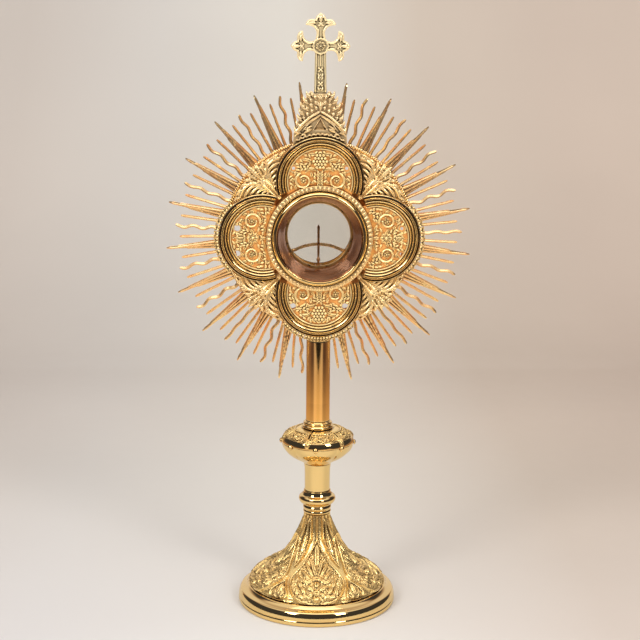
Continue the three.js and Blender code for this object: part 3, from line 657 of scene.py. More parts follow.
STUD_AT = (37.4, 172.6)  # radius and height
stud = turned([(0.05, 0), (2.5, 0), (2.8, 0.5), (2.5, 1.3), (1.6, 2.1), (0.05, 2.4)], 20, 0.3, axis="y")
studs = sorted(n for n in frame["nodes"] if n.startswith("knop_stud_"))
for index, node in enumerate(studs):
    (x, depth, z), faces = stud[0].T, stud[1]
    a = TAU * index / len(studs) + STUD_TURN
    out = STUD_AT[0] + depth
    placed = (out * math.sin(a) + x * math.cos(a), -out * math.cos(a) + x * math.sin(a), z + STUD_AT[1])
    make(f"{node}_domed", (np.stack(placed, 1), faces), polished)

# ------------------------------------------------------------------ head: frame and mouldings
REACH = 108.2  # degrees from the middle of a lobe's outer arc to its cusp


def lobe_arc(radius, reach, steps, y):
    a = np.radians(np.linspace(-reach, reach, steps))
    return np.stack([LOBE_AT + radius * np.cos(a), np.full(steps, float(y)), radius * np.sin(a)], 1)


# Offsets outwards and forwards of the rim moulding, from the middle of its width.
RIM = [(-4.8, -17.2), (-4.8, 0.2), (-4.4, 1.4), (-3.6, 2.0), (-2.9, 1.6), (-2.6, 0.8), (-2.1, 2.4),
    (-1.4, 3.6), (-0.7, 3.9), (-0.2, 3.2), (0.0, 2.4), (0.5, 3.8), (1.3, 4.8), (2.2, 4.9), (2.9, 4.0),
    (3.2, 2.2), (3.3, 0.2), (4.5, 0.0), (4.6, 1.7), (5.0, 2.3), (5.4, 2.0), (5.6, 1.0), (5.7, -17.2)]


def rims():
    """The moulding round each of the four lobes."""
    one = sweep(lobe_arc(38.6, REACH, 96, -13.6), RIM)
    return joined([moved(one, turn) for turn in (0, 90, 180, 270)])


def bobbles():
    """The edging of small leaves and grains round the outside of the lobes."""
    shapes = []
    for turn, reach in ((0, 46), (180, 46), (270, 48)):
        for step, a in enumerate(np.radians(np.arange(-reach, reach + 1, 3.9))):
            out = heading(a)
            lean = across(out) * 1.3
            at = np.array([LOBE_AT, 0]) + out * 45.4
            shapes.append(moved(ball(*at, -14.4, 1.5, deep=1.1, steps=5, sides=8), turn))
            side = 1 if step % 2 else -1
            shapes.append(moved(leaf(at + out * 0.6 - lean * side, at + out * 2.6,
                at + out * 3.6 + lean * side, 1.5, 2.4, -12.4), turn))
    return joined(shapes)


def frame_web():
    """The ring that ties the four rims together behind the beads."""
    return turned([(47.7, -17.6), (53.4, -17.6), (53.4, 3.7), (47.7, 3.7)], 128, 0.3, axis="y")


make("quatrefoil_rims", joined([rims(), frame_web()]), rim_gold, z=HEAD_Z,
     node="quatrefoil_frame", sharp=40)

make("quatrefoil_edging", bobbles(), lace_gold, node="", z=HEAD_Z, sharp=50)

BEZEL = [(47.4, 3.7), (47.4, -21.4), (47.0, -23), (45.8, -24.4), (44.6, -24.9), (43.4, -24.6),
    (42.9, -23.4), (43.2, -22), (44.6, -19.4), (45.8, 3.7)]
FUNNEL = [(43.5, -21.8), (42.6, -22.4), (41.8, -21.6), (41, -18.6), (39.6, -13.6), (37.8, -8), (36, -2.6),
          (34.4, 3.6), (36.2, 3.7), (42.4, -15.6)]
make("bezel_turned", turned(BEZEL, 192, 0.5, axis="y"), polished, z=HEAD_Z, sharp=60)
# A thin cone lines the funnel in that dark gilding of painted shade.
make("bezel_funnel", turned(FUNNEL, 192, 0.5, axis="y"), funnel_painted_shade, node="", z=HEAD_Z, sharp=60)


def beads():
    """The ring of small leaves round the bezel."""
    seat = [(47.8, -18.2), (53.4, -18.2), (53.2, -19), (50.4, -19.6), (47.8, -19)]
    shapes = [turned(seat, 160, 0.2, axis="y")]
    for a in np.linspace(0, TAU, 72, endpoint=False):
        out = heading(a)
        shapes.append(leaf(out * 48.2, out * 50.5, out * 53.6, 1.75, 1.9, -19.2, veins=False))
    return joined(shapes)


make("bead_ring_leaves", beads(), chased, z=HEAD_Z, sharp=60)

# ------------------------------------------------------------------ head: pierced panels
# A panel is drawn about its lobe's centre with x outwards, its ornament standing on a thin ground.
PANEL_Y = -12.4
GROUND_Y = (-11.9, -10.9)
WINDOW_R = 34.7
RING_R = 53.6


def window(radius, ring_radius):
    """The outline of a lobe's window: round outside, and hollowed by the beaded ring."""
    meet = (ring_radius ** 2 + LOBE_AT ** 2 - radius ** 2) / (2 * LOBE_AT)
    height = math.sqrt(ring_radius ** 2 - meet ** 2)
    outer = np.linspace(0, math.atan2(height, meet - LOBE_AT), 30)
    inner = np.linspace(math.atan2(height, meet), 0, 12)[1:]
    half = [(radius * math.cos(a), radius * math.sin(a)) for a in outer]
    half += [(ring_radius * math.cos(a) - LOBE_AT, ring_radius * math.sin(a)) for a in inner]
    return mirrored(half)


def scroll(x, z, size, turn, hand, leaves=5):
    """A spiral scroll with a flower in its eye and curled leaves along its back."""
    line = spiral(0, 0, size, size * 0.5, turn, hand * 1.1, 30)
    shapes = [moved(bar(line, PANEL_Y - 0.5, np.linspace(1.4, 0.9, 30), 1.2), x=x, z=z)]
    shapes.append(rosette(x, z, PANEL_Y - 0.3, size * 0.44, 5, 1.5))
    for k in range(leaves):
        a = math.radians(turn) + hand * TAU * (0.04 + 0.86 * k / leaves)
        out = heading(a)
        lean = across(out) * hand
        base = np.array([x, z]) + out * size * 0.9
        shapes.append(leaf(base, base + out * size * 0.36, base + out * size * 0.34 + lean * size * 0.52,
                           size * 0.2, 1.9, PANEL_Y))
    return shapes


def tendrils(holes, taken, spacing=3.4):
    """Small curled leaves that fill what the large forms leave of a panel."""
    shapes = []
    for x in np.arange(-16, 32, spacing):
        for z in np.arange(1.2, 34, spacing):
            at = np.array([x, z]) + rng.uniform(-0.8, 0.8, 2)
            if math.hypot(*at) > 29.5 or math.hypot(at[0] + LOBE_AT, at[1]) < 56.6:
                continue
            if any(math.hypot(at[0] - px, at[1] - pz) < reach for px, pz, reach in taken):
                continue
            centre = min(taken, key=lambda t: math.hypot(at[0] - t[0], at[1] - t[1]) - t[2])
            away = at - np.array(centre[:2])
            away /= np.linalg.norm(away)
            run = across(away) * (1 if rng.uniform() < 0.5 else -1) * 0.8 + away * 0.5
            for flip in (1, -1):
                if any(math.hypot(at[0] - px, at[1] * flip - pz) < 4.6 for px, pz in holes):
                    continue
                turn = np.array([1, flip])
                shapes.append(leaf((at - run * 2.5) * turn, (at + away * 1.3) * turn,
                    (at + run * 2.9) * turn, 1.4, 2.1, PANEL_Y, veins=False))
    return shapes


def seeds(holes, count=150):
    """Small round grains scattered over a panel's ground."""
    shapes = []
    while len(shapes) < count:
        x, z = rng.uniform((-17, -33), (33, 33))
        if math.hypot(x, z) > 31.4 or math.hypot(x + LOBE_AT, z) < 55.4:
            continue
        if any(math.hypot(x - px, z - pz) < 4.4 for px, pz in holes):
            continue
        shapes.append(ball(x, z, PANEL_Y + 0.3, rng.uniform(0.55, 0.85), deep=1.3, steps=4, sides=6))
    return shapes


def rims_of_panel(holes):
    """A fine line round the window and rings round its two holes."""
    shapes = seeds(holes)
    a = np.linspace(-1.9, 1.9, 60)
    line = [(32.4 * math.cos(t), 32.4 * math.sin(t)) for t in a]
    shapes.append(bar(line, PANEL_Y - 0.5, 0.8))
    for x, z in holes:
        line = np.array(ring_points(x, z, 3.9, 16))
        shapes.append(sweep(on_panel(line, PANEL_Y), circle(6) * 0.7, closed=True))
    return shapes


def grapes(x, z):
    shapes = []
    for count, out in ((3, -8), (4, -5), (5, -2), (4, 1), (3, 4)):
        for i in range(count):
            shapes.append(ball(x - out, z + (i - (count - 1) / 2) * 3.2, PANEL_Y - 1.6, 1.8, steps=5,
                sides=8))
    return shapes


def upright_panel(holes):
    """Grapes over an ear of wheat between two scrolls."""
    shapes = grapes(18, 0)
    for side in (-1, 1):
        shapes += scroll(0.5, side * 16.5, 8.4, side * 20, side, 7)
        shapes += leaves([((10, 3), (16, 10), (9, 13.5), 2.2, 1.9, PANEL_Y - 0.4, 1),
                          ((18, 7.5), (24, 12), (20.5, 19.5), 2.2, 1.9, PANEL_Y - 0.4, 1),
                          ((24, 3), (29, 7), (26.6, 12), 1.6, 1.6, PANEL_Y - 0.3)], side)
        shapes += leaves([((x - 6, 0.4), (x - 4, 2.2), (x - 1.4, 2.7), 1.0, 1.8, PANEL_Y - 0.8, 0, False)
                          for x in np.arange(6) * 2.6], side)
    shapes.append(bar([(-8, 0), (0, 0), (10, 0)], PANEL_Y - 0.6, 1.1))
    shapes += tendrils(holes, [(0.5, 16.5, 10), (18, 0, 9), (2, 0, 4), (11, 9, 3), (21, 14, 3.2)])
    return shapes + rims_of_panel(holes)


def side_panel(holes):
    """Two scrolls with a leafy rosette between them."""
    shapes = [rosette(10, 0, PANEL_Y - 0.5, 6.6, 8, 2.0), rosette(10, 0, PANEL_Y - 1.6, 3.4, 6, 1.4, 20)]
    for side in (-1, 1):
        shapes += scroll(10.6, side * 16.8, 8.4, side * 200, -side, 7)
        shapes += leaves([((18, 2), (24, 2.6), (28.4, 6), 1.9, 1.7, PANEL_Y - 0.3, 1),
                          ((0, 3), (-4, 10), (1.6, 13), 1.8, 1.7, PANEL_Y - 0.3, 1)], side)
    shapes += leaves([((17, 0), (23, 0.1), (29, 0), 1.7, 1.8, PANEL_Y - 0.4),
                      ((3, 0), (-1, 0.1), (-4.4, 0), 1.7, 1.8, PANEL_Y - 0.4)])
    shapes += tendrils(holes, [(10.6, 17.2, 10), (10, 0, 7.8), (22, 3, 2.6), (28, 0, 2)])
    return shapes + rims_of_panel(holes)


HOLES = {0: ((25.5, 9.6), (25.5, -16.2)), 90: ((12.9, 26.5), (12.9, -26.5)),
    180: ((25.5, -9.6), (25.5, 16.2)), 270: ((12.9, 26.5), (12.9, -26.5))}
for side, turn, draw in (("right", 0, side_panel), ("top", 90, upright_panel), ("left", 180, side_panel),
                         ("bottom", 270, upright_panel)):
    shape = moved(joined(draw(HOLES[turn])), x=LOBE_AT)
    make(f"filigree_{side}_scrolls", moved(shape, turn), lace_gold, z=HEAD_Z, sharp=50)
    size = 3.2 if side in ("left", "bottom") else 1.7
    openings = [ring_points(x, z, size, 12) for x, z in HOLES[turn]]
    ground = moved(sheet(window(WINDOW_R, RING_R), *GROUND_Y, holes=openings, ease=0.2), x=LOBE_AT)
    make(f"filigree_{side}_ground", moved(ground, turn), pan_gold, node="", z=HEAD_Z)

# ------------------------------------------------------------------ head: corners
LOBE_ON_DIAGONAL = np.array([LOBE_AT, LOBE_AT]) / math.sqrt(2)


def beside_lobe(radius, degrees):
    """A point round a lobe's centre, with x along the diagonal between two lobes."""
    a = math.radians(degrees)
    return LOBE_ON_DIAGONAL + radius * heading(a)


def corner_foliage():
    """Nested ribs curling from each lobe to the diagonal, and a leafy tip. Drawn along x."""
    heart = beside_lobe(43, -66)
    rim = [beside_lobe(43, a) for a in np.linspace(-71, -20, 18)]
    wing = [(85.6, 26), (87.6, 19), (89.6, 11.4), (94, 5.4), (98, 0)]
    shapes = [sheet(mirrored([(rim[0][0], 0.0), *rim, *wing]), -6.6, 5)]
    border, _ = profile_curve([(84.4, 29.6), (88.0, 22.4), (88.2, 14), (84.6, 7), (78, 3.4)], 26)
    half = []
    for scale in (1.0, 0.86, 0.72, 0.58, 0.45, 0.33):
        line = heart + (border - heart) * scale
        fat, lift = (1.5, -10.0) if scale == 1.0 else (1.45, -9.2)
        t = np.linspace(0, 1, len(line))
        radii = fat * (0.75 + 0.45 * np.sin(math.pi * t)) * (0.7 + 0.3 * scale)
        half.append(bar(line, lift + 1.4 * t, radii, 1.35))
    half.append(bar(heart + (border - heart) * 1.075, -8.6, 0.75))
    spine, _ = profile_curve([(80, 2.6), (70, 2.3), (60, 1.6), (55.5, 0.6)], 14)
    half.append(bar(spine, -10.2, np.linspace(1.7, 1.0, 14), 1.3))
    half += leaves((*row, 2.6, -9.4, 1) for row in (
        ((85, 3), (91, 4), (98.6, 7.4), 2.3), ((87, 7), (92, 9), (94.4, 14), 2.1),
        ((88.6, 13), (92, 16), (91.4, 21), 1.8), ((88, 21), (91, 25), (88.6, 30), 1.7),
        ((84, 27), (87.4, 31), (86.4, 35.6), 1.6), ((83, 6), (86, 10.6), (89.4, 9.6), 1.6)))
    for x, z, size in ((95.2, 4.2, 1.7), (91.6, 8.0, 1.5), (83.4, 3.2, 1.6), (76, 1.2, 1.3)):
        half.append(ball(x, z, -10.4, size))
    one = joined(half)
    shapes += [one, (one[0] * (1, 1, -1), one[1])]
    shapes.append(leaf((84, 0), (92, 0.1), (101.4, 0), 3.2, 3.2, -10.2, teeth=1))
    shapes.append(rosette(80.4, 0, -10.8, 4.0, 6, 2.0))
    return joined(shapes)


corner = corner_foliage()
for index in range(4):
    make(f"corner_leaf_{index + 1}_cast", moved(corner, 90 * index + 45), chased, z=HEAD_Z, voxel=0.42)

# ------------------------------------------------------------------ sunburst
RAY_STEP, RAY_TOP, RAY_ROOT, RAY_Y = 4.37, 88.93, 95.0, 6.7
RAY_KINDS = ("wavy", "thin", "big", "thin")
RAY_TIPS = {"wavy": 145.5, "thin": 141.0, "big": 155.2}


def ray_angle(step, along):
    """A ray's direction in radians: radial, except for the last on the left, which lean to the stem."""
    lean = 4.0 * max(0.0, (-28 - step) / 12) ** 2
    return np.radians(RAY_TOP - RAY_STEP * step - lean * (1 - along))


def strand(step, offsets, half, thick, crown, y=RAY_Y):
    """One bar of a ray, offset sideways from the ray's middle."""
    kind = RAY_KINDS[abs(step) % 4]
    t = np.linspace(0, 1, len(offsets))
    out = RAY_ROOT + (RAY_TIPS[kind] - RAY_ROOT) * t
    a = ray_angle(step, t)
    path = np.stack([out * np.cos(a) - offsets * np.sin(a), np.broadcast_to(y, t.shape),
                     out * np.sin(a) + offsets * np.cos(a)], 1)
    close = np.clip((1 - t) * (out[-1] - out[0]) / 1.6, 0.3, 1) ** 0.5
    return sweep(path, np.array(crown)[None] * np.stack([half * close, thick * close], 1)[:, None])


def ray(step):
    kind = RAY_KINDS[abs(step) % 4]
    hand = 1 if math.cos(float(ray_angle(step, 0))) > 0 else -1
    crown = [(-hand, -0.5), (0.15 * hand, 0.95), (hand, 0.8), (hand, -1), (-hand, -1)]
    if kind == "thin":
        t = np.linspace(0, 1, 16)
        half = 1.5 - 0.25 * t + 0.4 * np.exp(-t / 0.06)
        return [strand(step, rng.normal(0, 0.05, 16), half, np.full(16, 1.15), crown)]
    if kind == "wavy":
        t = np.linspace(0, 1, 56)
        out = t * (RAY_TIPS[kind] - RAY_ROOT)
        sway = (0.95 + 0.2 * rng.normal()) * np.sin(TAU * out / 19 + rng.uniform(-0.5, 0.5))
        half = 1.7 - 0.3 * t + 0.5 * np.exp(-t / 0.05)
        return [strand(step, sway, half, np.full(56, 1.2), crown)]
    bars = []
    t = np.linspace(0, 1, 44)
    spread = 3.2 * (1 - t) ** 1.1 + 1.0 * np.exp(-t / 0.07)
    for side, reach in ((-1, 0.86), (0, 1.0), (1, 0.7)):
        notch = 1 - 0.16 * (rng.uniform(0, 1, 44) < 0.3) * (t > 0.15)
        end = np.clip((reach - t) / 0.06, 0.25, 1)
        half = (1.3 + 0.4 * (1 - t)) * end
        thick = (1.3 + 0.4 * (1 - t) - 0.2 * abs(side)) * notch * end
        bars.append(strand(step, side * spread, half, thick, crown))
    web = [(-1, 0.3), (0, 0.5), (1, 0.3), (1, -0.5), (-1, -0.5)]
    bars.append(strand(step, np.zeros(44), spread + 0.9, np.full(44, 1.1), web))
    return bars


def strip(first, lug):
    """The arched strip that the rays grow from, and its lug."""
    start, end = ray_angle(first + 19, 0), ray_angle(first, 0)
    a = np.linspace(start - 0.034, end + 0.034, 48)
    path = np.stack([91.5 * np.cos(a), np.full(48, RAY_Y), 91.5 * np.sin(a)], 1)
    section = np.array([(-5.5, -1.2), (-5.5, 0.8), (-5.1, 1.2), (5.1, 1.2), (5.5, 0.8), (5.5, -1.2)])
    lug_bar = sweep(on_panel([(46.2, 0), (66, 0), (88, 0)], RAY_Y), section * (1.09, 1))
    shapes = [sweep(path, section), moved(lug_bar, lug)]
    for along in np.linspace(start, end, 58):
        out = heading(along)
        run = across(out)
        shapes.append(ball(*(out * 95.6), RAY_Y - 1.6, 1.5, steps=5, sides=8))
        shapes.append(leaf(out * 87.4 - run, out * 90 + run, out * 94 + run * 0.4, 1.3, 2.0, RAY_Y - 1.2,
            veins=False))
    return shapes


for index in range(4):
    first = 20 * (1 - index)
    shapes = strip(first, 90 * index - 45)
    for step in range(first, first + 20):
        shapes += ray(step)
    make(f"sunburst_{index + 1}_rays", joined(shapes), rays_gold, z=HEAD_Z, sharp=32)

# ------------------------------------------------------------------ gable and cross
def gable():
    """Foliage over a chevron moulding, with a dark three-cornered recess beneath it."""
    edge = [(6.9, 143.2), (7.4, 145), (10, 145.6), (13, 141), (16.2, 135.4), (19.2, 126.5), (21, 118),
        (24, 110), (26.4, 103), (27, 95)]
    lobe = [(43.2 * math.cos(a), LOBE_AT + 43.2 * math.sin(a)) for a in np.radians(np.linspace(54, 90, 8))]
    half = [*edge, *lobe[:-1]]
    outline = half + [(0.0, lobe[-1][1])] + [(-x, z) for x, z in reversed(half)]
    recess = [(-6.4, 107.6), (6.4, 107.6), (0, 118.2)]
    shapes = [sheet(outline, -5.2, 5, holes=[recess]), sheet(ring_points(0, 111, 9, 12), 2.8, 4.6)]
    shapes.append(rosette(0, 140.6, -9.2, 3.6, 6, 2.0))
    shapes.append(leaf((0, 127), (0.1, 131), (0, 137), 2.2, 2.8, -9.2, teeth=1))
    for side in (-1, 1):
        def at(*points):
            return [(side * x, z) for x, z in points]

        outer, _ = profile_curve(at((25.6, 104.5), (18.6, 113), (10.6, 120), (0, 126.4)), 18)
        inner, _ = profile_curve(at((17.6, 106.6), (12.6, 112.4), (7.4, 117), (0, 122)), 16)
        shapes.append(bar(outer, -8.8, 1.35, 1.5))
        shapes.append(bar(outer - (0, 3.4), -7.6, 1.0, 1.3))
        shapes.append(bar(inner, -7.2, 0.75, 1.3))
        shapes.append(bar(at((7.6, 106.4), (0, 119.6)), -7.0, 0.7, 1.3))
        # scrolls along the foot, on the top lobe
        for k in range(6):
            a = math.radians(61 + 5.4 * k)
            out = np.array([side * math.cos(a), math.sin(a)])
            run = np.array([side * math.sin(a), -math.cos(a)])
            base = np.array([0, LOBE_AT]) + out * 44.6
            shapes.append(leaf(base - run * 1.4, base + out * 3.0, base + run * 2.4 + out * 1.8, 1.2, 1.9,
                -7.6, veins=False))
            shapes.append(ball(*(base + out * 1.1 - run * 2.0), -8.0, 1.0))
        for base, bend, tip, wide in (((8.4, 109), (12, 107), (16.4, 104.6), 1.6),
                ((8, 112), (12, 110), (15, 107.4), 1.2), ((19, 104), (22, 106), (24.6, 101.6), 1.5),
                ((14, 102.6), (17, 104.6), (20, 101), 1.3)):
            shapes.append(leaf(*at(base, bend, tip), wide, 2.0, -7.2))
        # crockets up the slope and foliage over the moulding
        for x, z, lean in ((23.4, 107.6, 30), (21.6, 113.4, 24), (20.2, 119.6, 18), (18.8, 125.6, 14),
                (17.2, 131.4, 10), (14.6, 137, 6), (11.6, 142, 0)):
            a = math.radians(lean)
            tip = (x + 2.6 * math.cos(a), z + 4.4)
            shapes.append(leaf(*at((x - 3.6, z - 3.6), (x + 1.6, z - 2.2), tip), 1.9, 2.6, -8.2, teeth=1))
            shapes.append(ball(side * (x - 0.6), z - 0.6, -9.2, 1.35))
        for x, z in ((4, 129.4), (8.4, 126.6), (12.8, 123.4), (4.6, 135), (9.2, 132.4), (13.4, 129),
                (5.2, 140.4), (9.6, 137.6), (8.2, 142.6), (1.8, 133), (16.4, 119.6)):
            shapes.append(leaf(*at((x - 1.8, z - 2.6), (x + 1.9, z - 0.4), (x - 0.4, z + 2.6)), 1.35, 2.2,
                -8.2))
            shapes.append(ball(side * (x - 1.0), z + 0.4, -9.0, 0.95, steps=5, sides=8))
    return joined(shapes)


make("cross_gable_cast", gable(), gable_gold, z=HEAD_Z, voxel=0.36)

CROSS_Z = 577.5


def inset(points, by):
    """An open outline moved to its right-hand side."""
    p = np.asarray(points, float)
    along = np.gradient(p, axis=0)
    along /= np.linalg.norm(along, axis=1)[:, None]
    return p + np.stack([along[:, 1], -along[:, 0]], 1) * by


def arm(length):
    """A budded arm drawn along +x: a waist, two horns and a point, with a raised edge and leaves."""
    half, _ = profile_curve([(6, 5), (length - 17.5, 4.5), (length - 14.2, 6.8), (length - 12.6, 10.6),
        (length - 11.6, 14.9), (length - 8.4, 13.6), (length - 6.2, 9), (length - 6.4, 6),
        (length - 3, 3.9), (length, 0)], 44)
    shapes = [sheet(mirrored([(3, 5), *half]), -0.5, 1.9)]
    edge = inset(half, 1.35)
    for side in (1, -1):
        shapes.append(bar(edge * (1, side), -1.7, 1.0, 1.3))
        horn = [(length - 10, side * 4.4), (length - 9.6, side * 8), (length - 10, side * 12.4)]
        shapes.append(leaf(*horn, 1.8, 1.9, -1.8, teeth=1))
        for x, z, size in ((length - 12.4, 2.2, 0.9), (length - 7.4, 4.6, 1.0), (length - 9.4, 9.8, 0.8),
                           (length - 4.4, 1.9, 0.8)):
            shapes.append(ball(x, side * z, -2.5, size, steps=5, sides=8))
        shapes.append(bar([(9, side * 2.2), (length - 14.4, side * 1.9)], -1.9, 0.65))
    shapes.append(leaf((length - 9.6, 0), (length - 5, 0.1), (length - 1.6, 0), 1.9, 2.0, -1.9))
    shapes.append(rosette(length - 10.6, 0, -2.0, 2.7, 5, 1.5))
    return joined(shapes)


def shaft(foot):
    """The long lower arm: a framed panel with small flowers and leaves."""
    shapes = [sheet([(-5.3, 2), (5.3, 2), (6.3, foot), (-6.3, foot)], -0.5, 1.9)]
    shapes.append(bar([(0, -8.6), (0, -19.4)], -1.4, 1.05, 1.1))
    for side in (-1, 1):
        shapes.append(bar([(side * 4.0, -6), (side * 4.9, foot + 0.6)], -1.6, 1.05, 1.25))
    for z in (-23, -37):
        shapes.append(rosette(0, z, -2.0, 3.2, 4, 1.5, 45))
    for z in (-28.6, -31.4, -42):
        for side in (-1, 1):
            shapes.append(leaf((0, z - 1.6), (side * 2.8, z), (side * 2.0, z + 2.6), 1.0, 1.5, -1.9))
        shapes.append(ball(0, z + 0.6, -2.4, 0.9, steps=5, sides=8))
    return shapes


def cross():
    shapes = [moved(arm(29.6), 0), moved(arm(32.5), 90), moved(arm(29.6), 180),
        *shaft(HEAD_Z + 143.3 - CROSS_Z)]
    shapes.append(sheet(ring_points(0, 0, 8.6, 8), -2.2, 2.2))
    shapes.append(sweep(on_panel(np.array(ring_points(0, 0, 7.6, 8)), -2.5), circle(8) * 0.9, closed=True))
    return joined(shapes)


make("cross_cast", cross(), cross_gold, z=CROSS_Z, voxel=0.27)
make("cross_rosette_flower", joined([rosette(0, 0, -3.0, 5.2, 7, 2.0),
    rosette(0, 0, -4.2, 3.0, 6, 1.4, 30)]), cross_gold, z=CROSS_Z, sharp=50)

# ------------------------------------------------------------------ luna
def block(x0, x1, y0, y1, z0, z1):
    """A small plate with eased edges."""
    return sheet([(x0, z0), (x1, z0), (x1, z1), (x0, z1)], y0, y1, ease=0.3)


def knuckle(z0, z1):
    return moved(turned([(0.8, z0), (1.9, z0), (1.9, z1), (0.8, z1)], 24, 0.3), x=-42, y=36.4)


HOUSING = [(38.6, 5.6), (41.3, 5.6), (41.5, 7.6), (40.8, 8.6), (40.8, 26.6), (41.5, 27.6), (41.5, 29.6),
    (38.6, 30)]
DRUM = [(32.2, 7), (37.6, 7), (38.2, 7.6), (38.2, 30.3), (40.6, 30.3), (41, 30.8), (41, 33.4), (40.6, 33.9),
        (36.4, 33.9), (36.4, 11), (32.2, 11), (31.8, 9)]
DOOR = [(34, 34.5), (39.3, 34.5), (39.5, 35), (39.5, 36.6), (38.9, 37.4), (37.6, 37.9), (36.6, 37.5),
    (35.6, 38), (34, 38), (34, 37.1), (36.3, 37.1), (36.3, 34.9), (34, 34.9)]
KNOB = [(0.05, 38.3), (1.5, 38.3), (1.2, 39.2), (1.3, 40), (2.4, 40.9), (2.8, 42), (2.7, 43), (2, 43.8),
    (0.05, 44.1)]
make("luna_housing_turned", turned(HOUSING, 160, 0.4, axis="y"), polished, z=HEAD_Z, sharp=40)
make("luna_ring_turned", joined([
    turned(DRUM, 160, 0.4, axis="y"), block(-43.5, -40, 31.4, 36, -5, 5), knuckle(-5, 5),
    *[block(x - 2.8, x + 2.8, 22.6, 26.4, -20.2, -16) for x in (31.2, -31.2)]]), ring_gold, body="luna",
     z=HEAD_Z, sharp=40)
post = [(0, 20.7, z) for z in (-35.4, -33, -30, -29.4, -27.7, -26, -25.4, -20, -6, 4, 6, 8.6)]
# The post is in the darker gilding of painted shade.
make("host_post_turned", joined([
    tube(post, np.array([3.2, 2.2, 1.1, 1.4, 2.1, 1.4, 1.0, 1.2, 1.2, 1.3, 1.5, 0.3]), sides=12),
    block(-3.4, 3.4, 19.4, 25.6, -35.6, -33.6)]), shaded_wire_gold, body="luna", z=HEAD_Z, sharp=50)
bow_at = np.radians(np.linspace(-31, 31, 40))
bow_path = np.stack([50.2 * np.sin(bow_at), np.full(40, 24.5), -61.6 + 49.2 * np.cos(bow_at)], 1)
make("host_bow_wire", joined([
    tube(bow_path, 1.6, flat=0.8, sides=10), *[ball(side * 25.8, -18.6, 24.5, 1.9) for side in (-1, 1)],
    *[tube([(side * 25, 24.5, -18), (side * 30.6, 24.5, -18)], 0.8) for side in (-1, 1)]]), bow_gold,
     body="host_bow", z=HEAD_Z, sharp=50)
make("door_ring_turned", joined([turned(DOOR, 160, 0.3, axis="y"), block(-42, -37, 35.7, 37.3, 5.4, 10),
    knuckle(5.4, 10), block(-42, -37, 35.7, 37.3, -10, -5.4), knuckle(-10, -5.4)]), polished,
    body="luna_door", z=HEAD_Z, sharp=40)
make("door_knob_turned", moved(turned(KNOB, 32, 0.3, axis="y"), x=36.6), polished, body="luna_door",
    z=HEAD_Z)


def screw_head(x, z, y, radius):
    """A slotted cheese head that faces backwards."""
    shapes = [turned([(0.05, y), (radius, y), (radius, y + 1.1), (0.05, y + 1.1)], 28, 0.1, axis="y")]
    for side in (-1, 1):
        a = np.linspace(0.16, math.pi - 0.16, 14)
        half = [(radius * 0.97 * math.cos(t), side * radius * 0.97 * math.sin(t)) for t in a]
        shapes.append(sheet(half, y + 1.0, y + 2, ease=0.15))
    return moved(joined(shapes), x=x, z=z)


for number, turn in enumerate((45, 135, 225, 315), 1):
    a = math.radians(turn)
    make(f"frame_screw_{number}_slotted", screw_head(50.4 * math.cos(a), 50.4 * math.sin(a), 8.2, 2.7),
        steel, z=HEAD_Z)
for number, height in enumerate((-88, -52), 1):
    make(f"bracket_screw_{number}_slotted", screw_head(0, height, 9.8, 3.2), steel, z=HEAD_Z)

# The CAD nodes that stay as they are, in their own finishes.
FINISHES = {"luna_glass": glass, "door_glass": glass, "back_plate": back_gold, "tie_rod": steel,
    "rod_washer": steel, "rod_nut": steel, "luna_hinge_pin": steel}
for name, node in frame["nodes"].items():
    node.data.materials.clear()
    node.data.materials.append(FINISHES.get(name, polished))

# ------------------------------------------------------------------ stage
def paper(name, tones):
    """Pale paper, faintly lit of itself far in front of the object, where the lights do not reach."""
    m = Nodes(name)
    across, back, _ = m.add("SeparateXYZ", {0: m.place}).outputs
    # painted light and shade: the paper grows slightly darker from the front back to where the floor turns
    # into the cove, and lighter again up the wall
    lift = m.ramp(m.fit(back, -0.2, 2.5), [
        (0.0, (0.9, 0.93, 1.0)), (0.2, (0.87, 0.89, 0.92)), (0.48, (0.83, 0.83, 0.84)),
        (0.75, (0.96, 0.97, 0.98)), (0.9, (0.98, 1.0, 1.02))])
    # painted light and shade: the tones given across the stage, lighter in the middle and darker to the
    # sides
    tone = m.mix(1.0, m.ramp(m.fit(across, -0.6, 0.6), tones), lift, "MULTIPLY")
    drift = m.greys(m.noise(1.6, 2.0), [(0.3, 0.94), (0.7, 1)])
    color = m.mix(1.0, tone, drift, "MULTIPLY")
    m.link(color, "Base Color")
    m.link(color, "Emission Color")
    m.link(m.fit(back, -1.8, -3.6, 0.0, 0.36), "Emission Strength")
    m.link(m.between(m.noise(30.0), 0.6, 0.75), "Roughness")
    m.shader.inputs["Specular IOR Level"].default_value = 0.15
    return m.owner


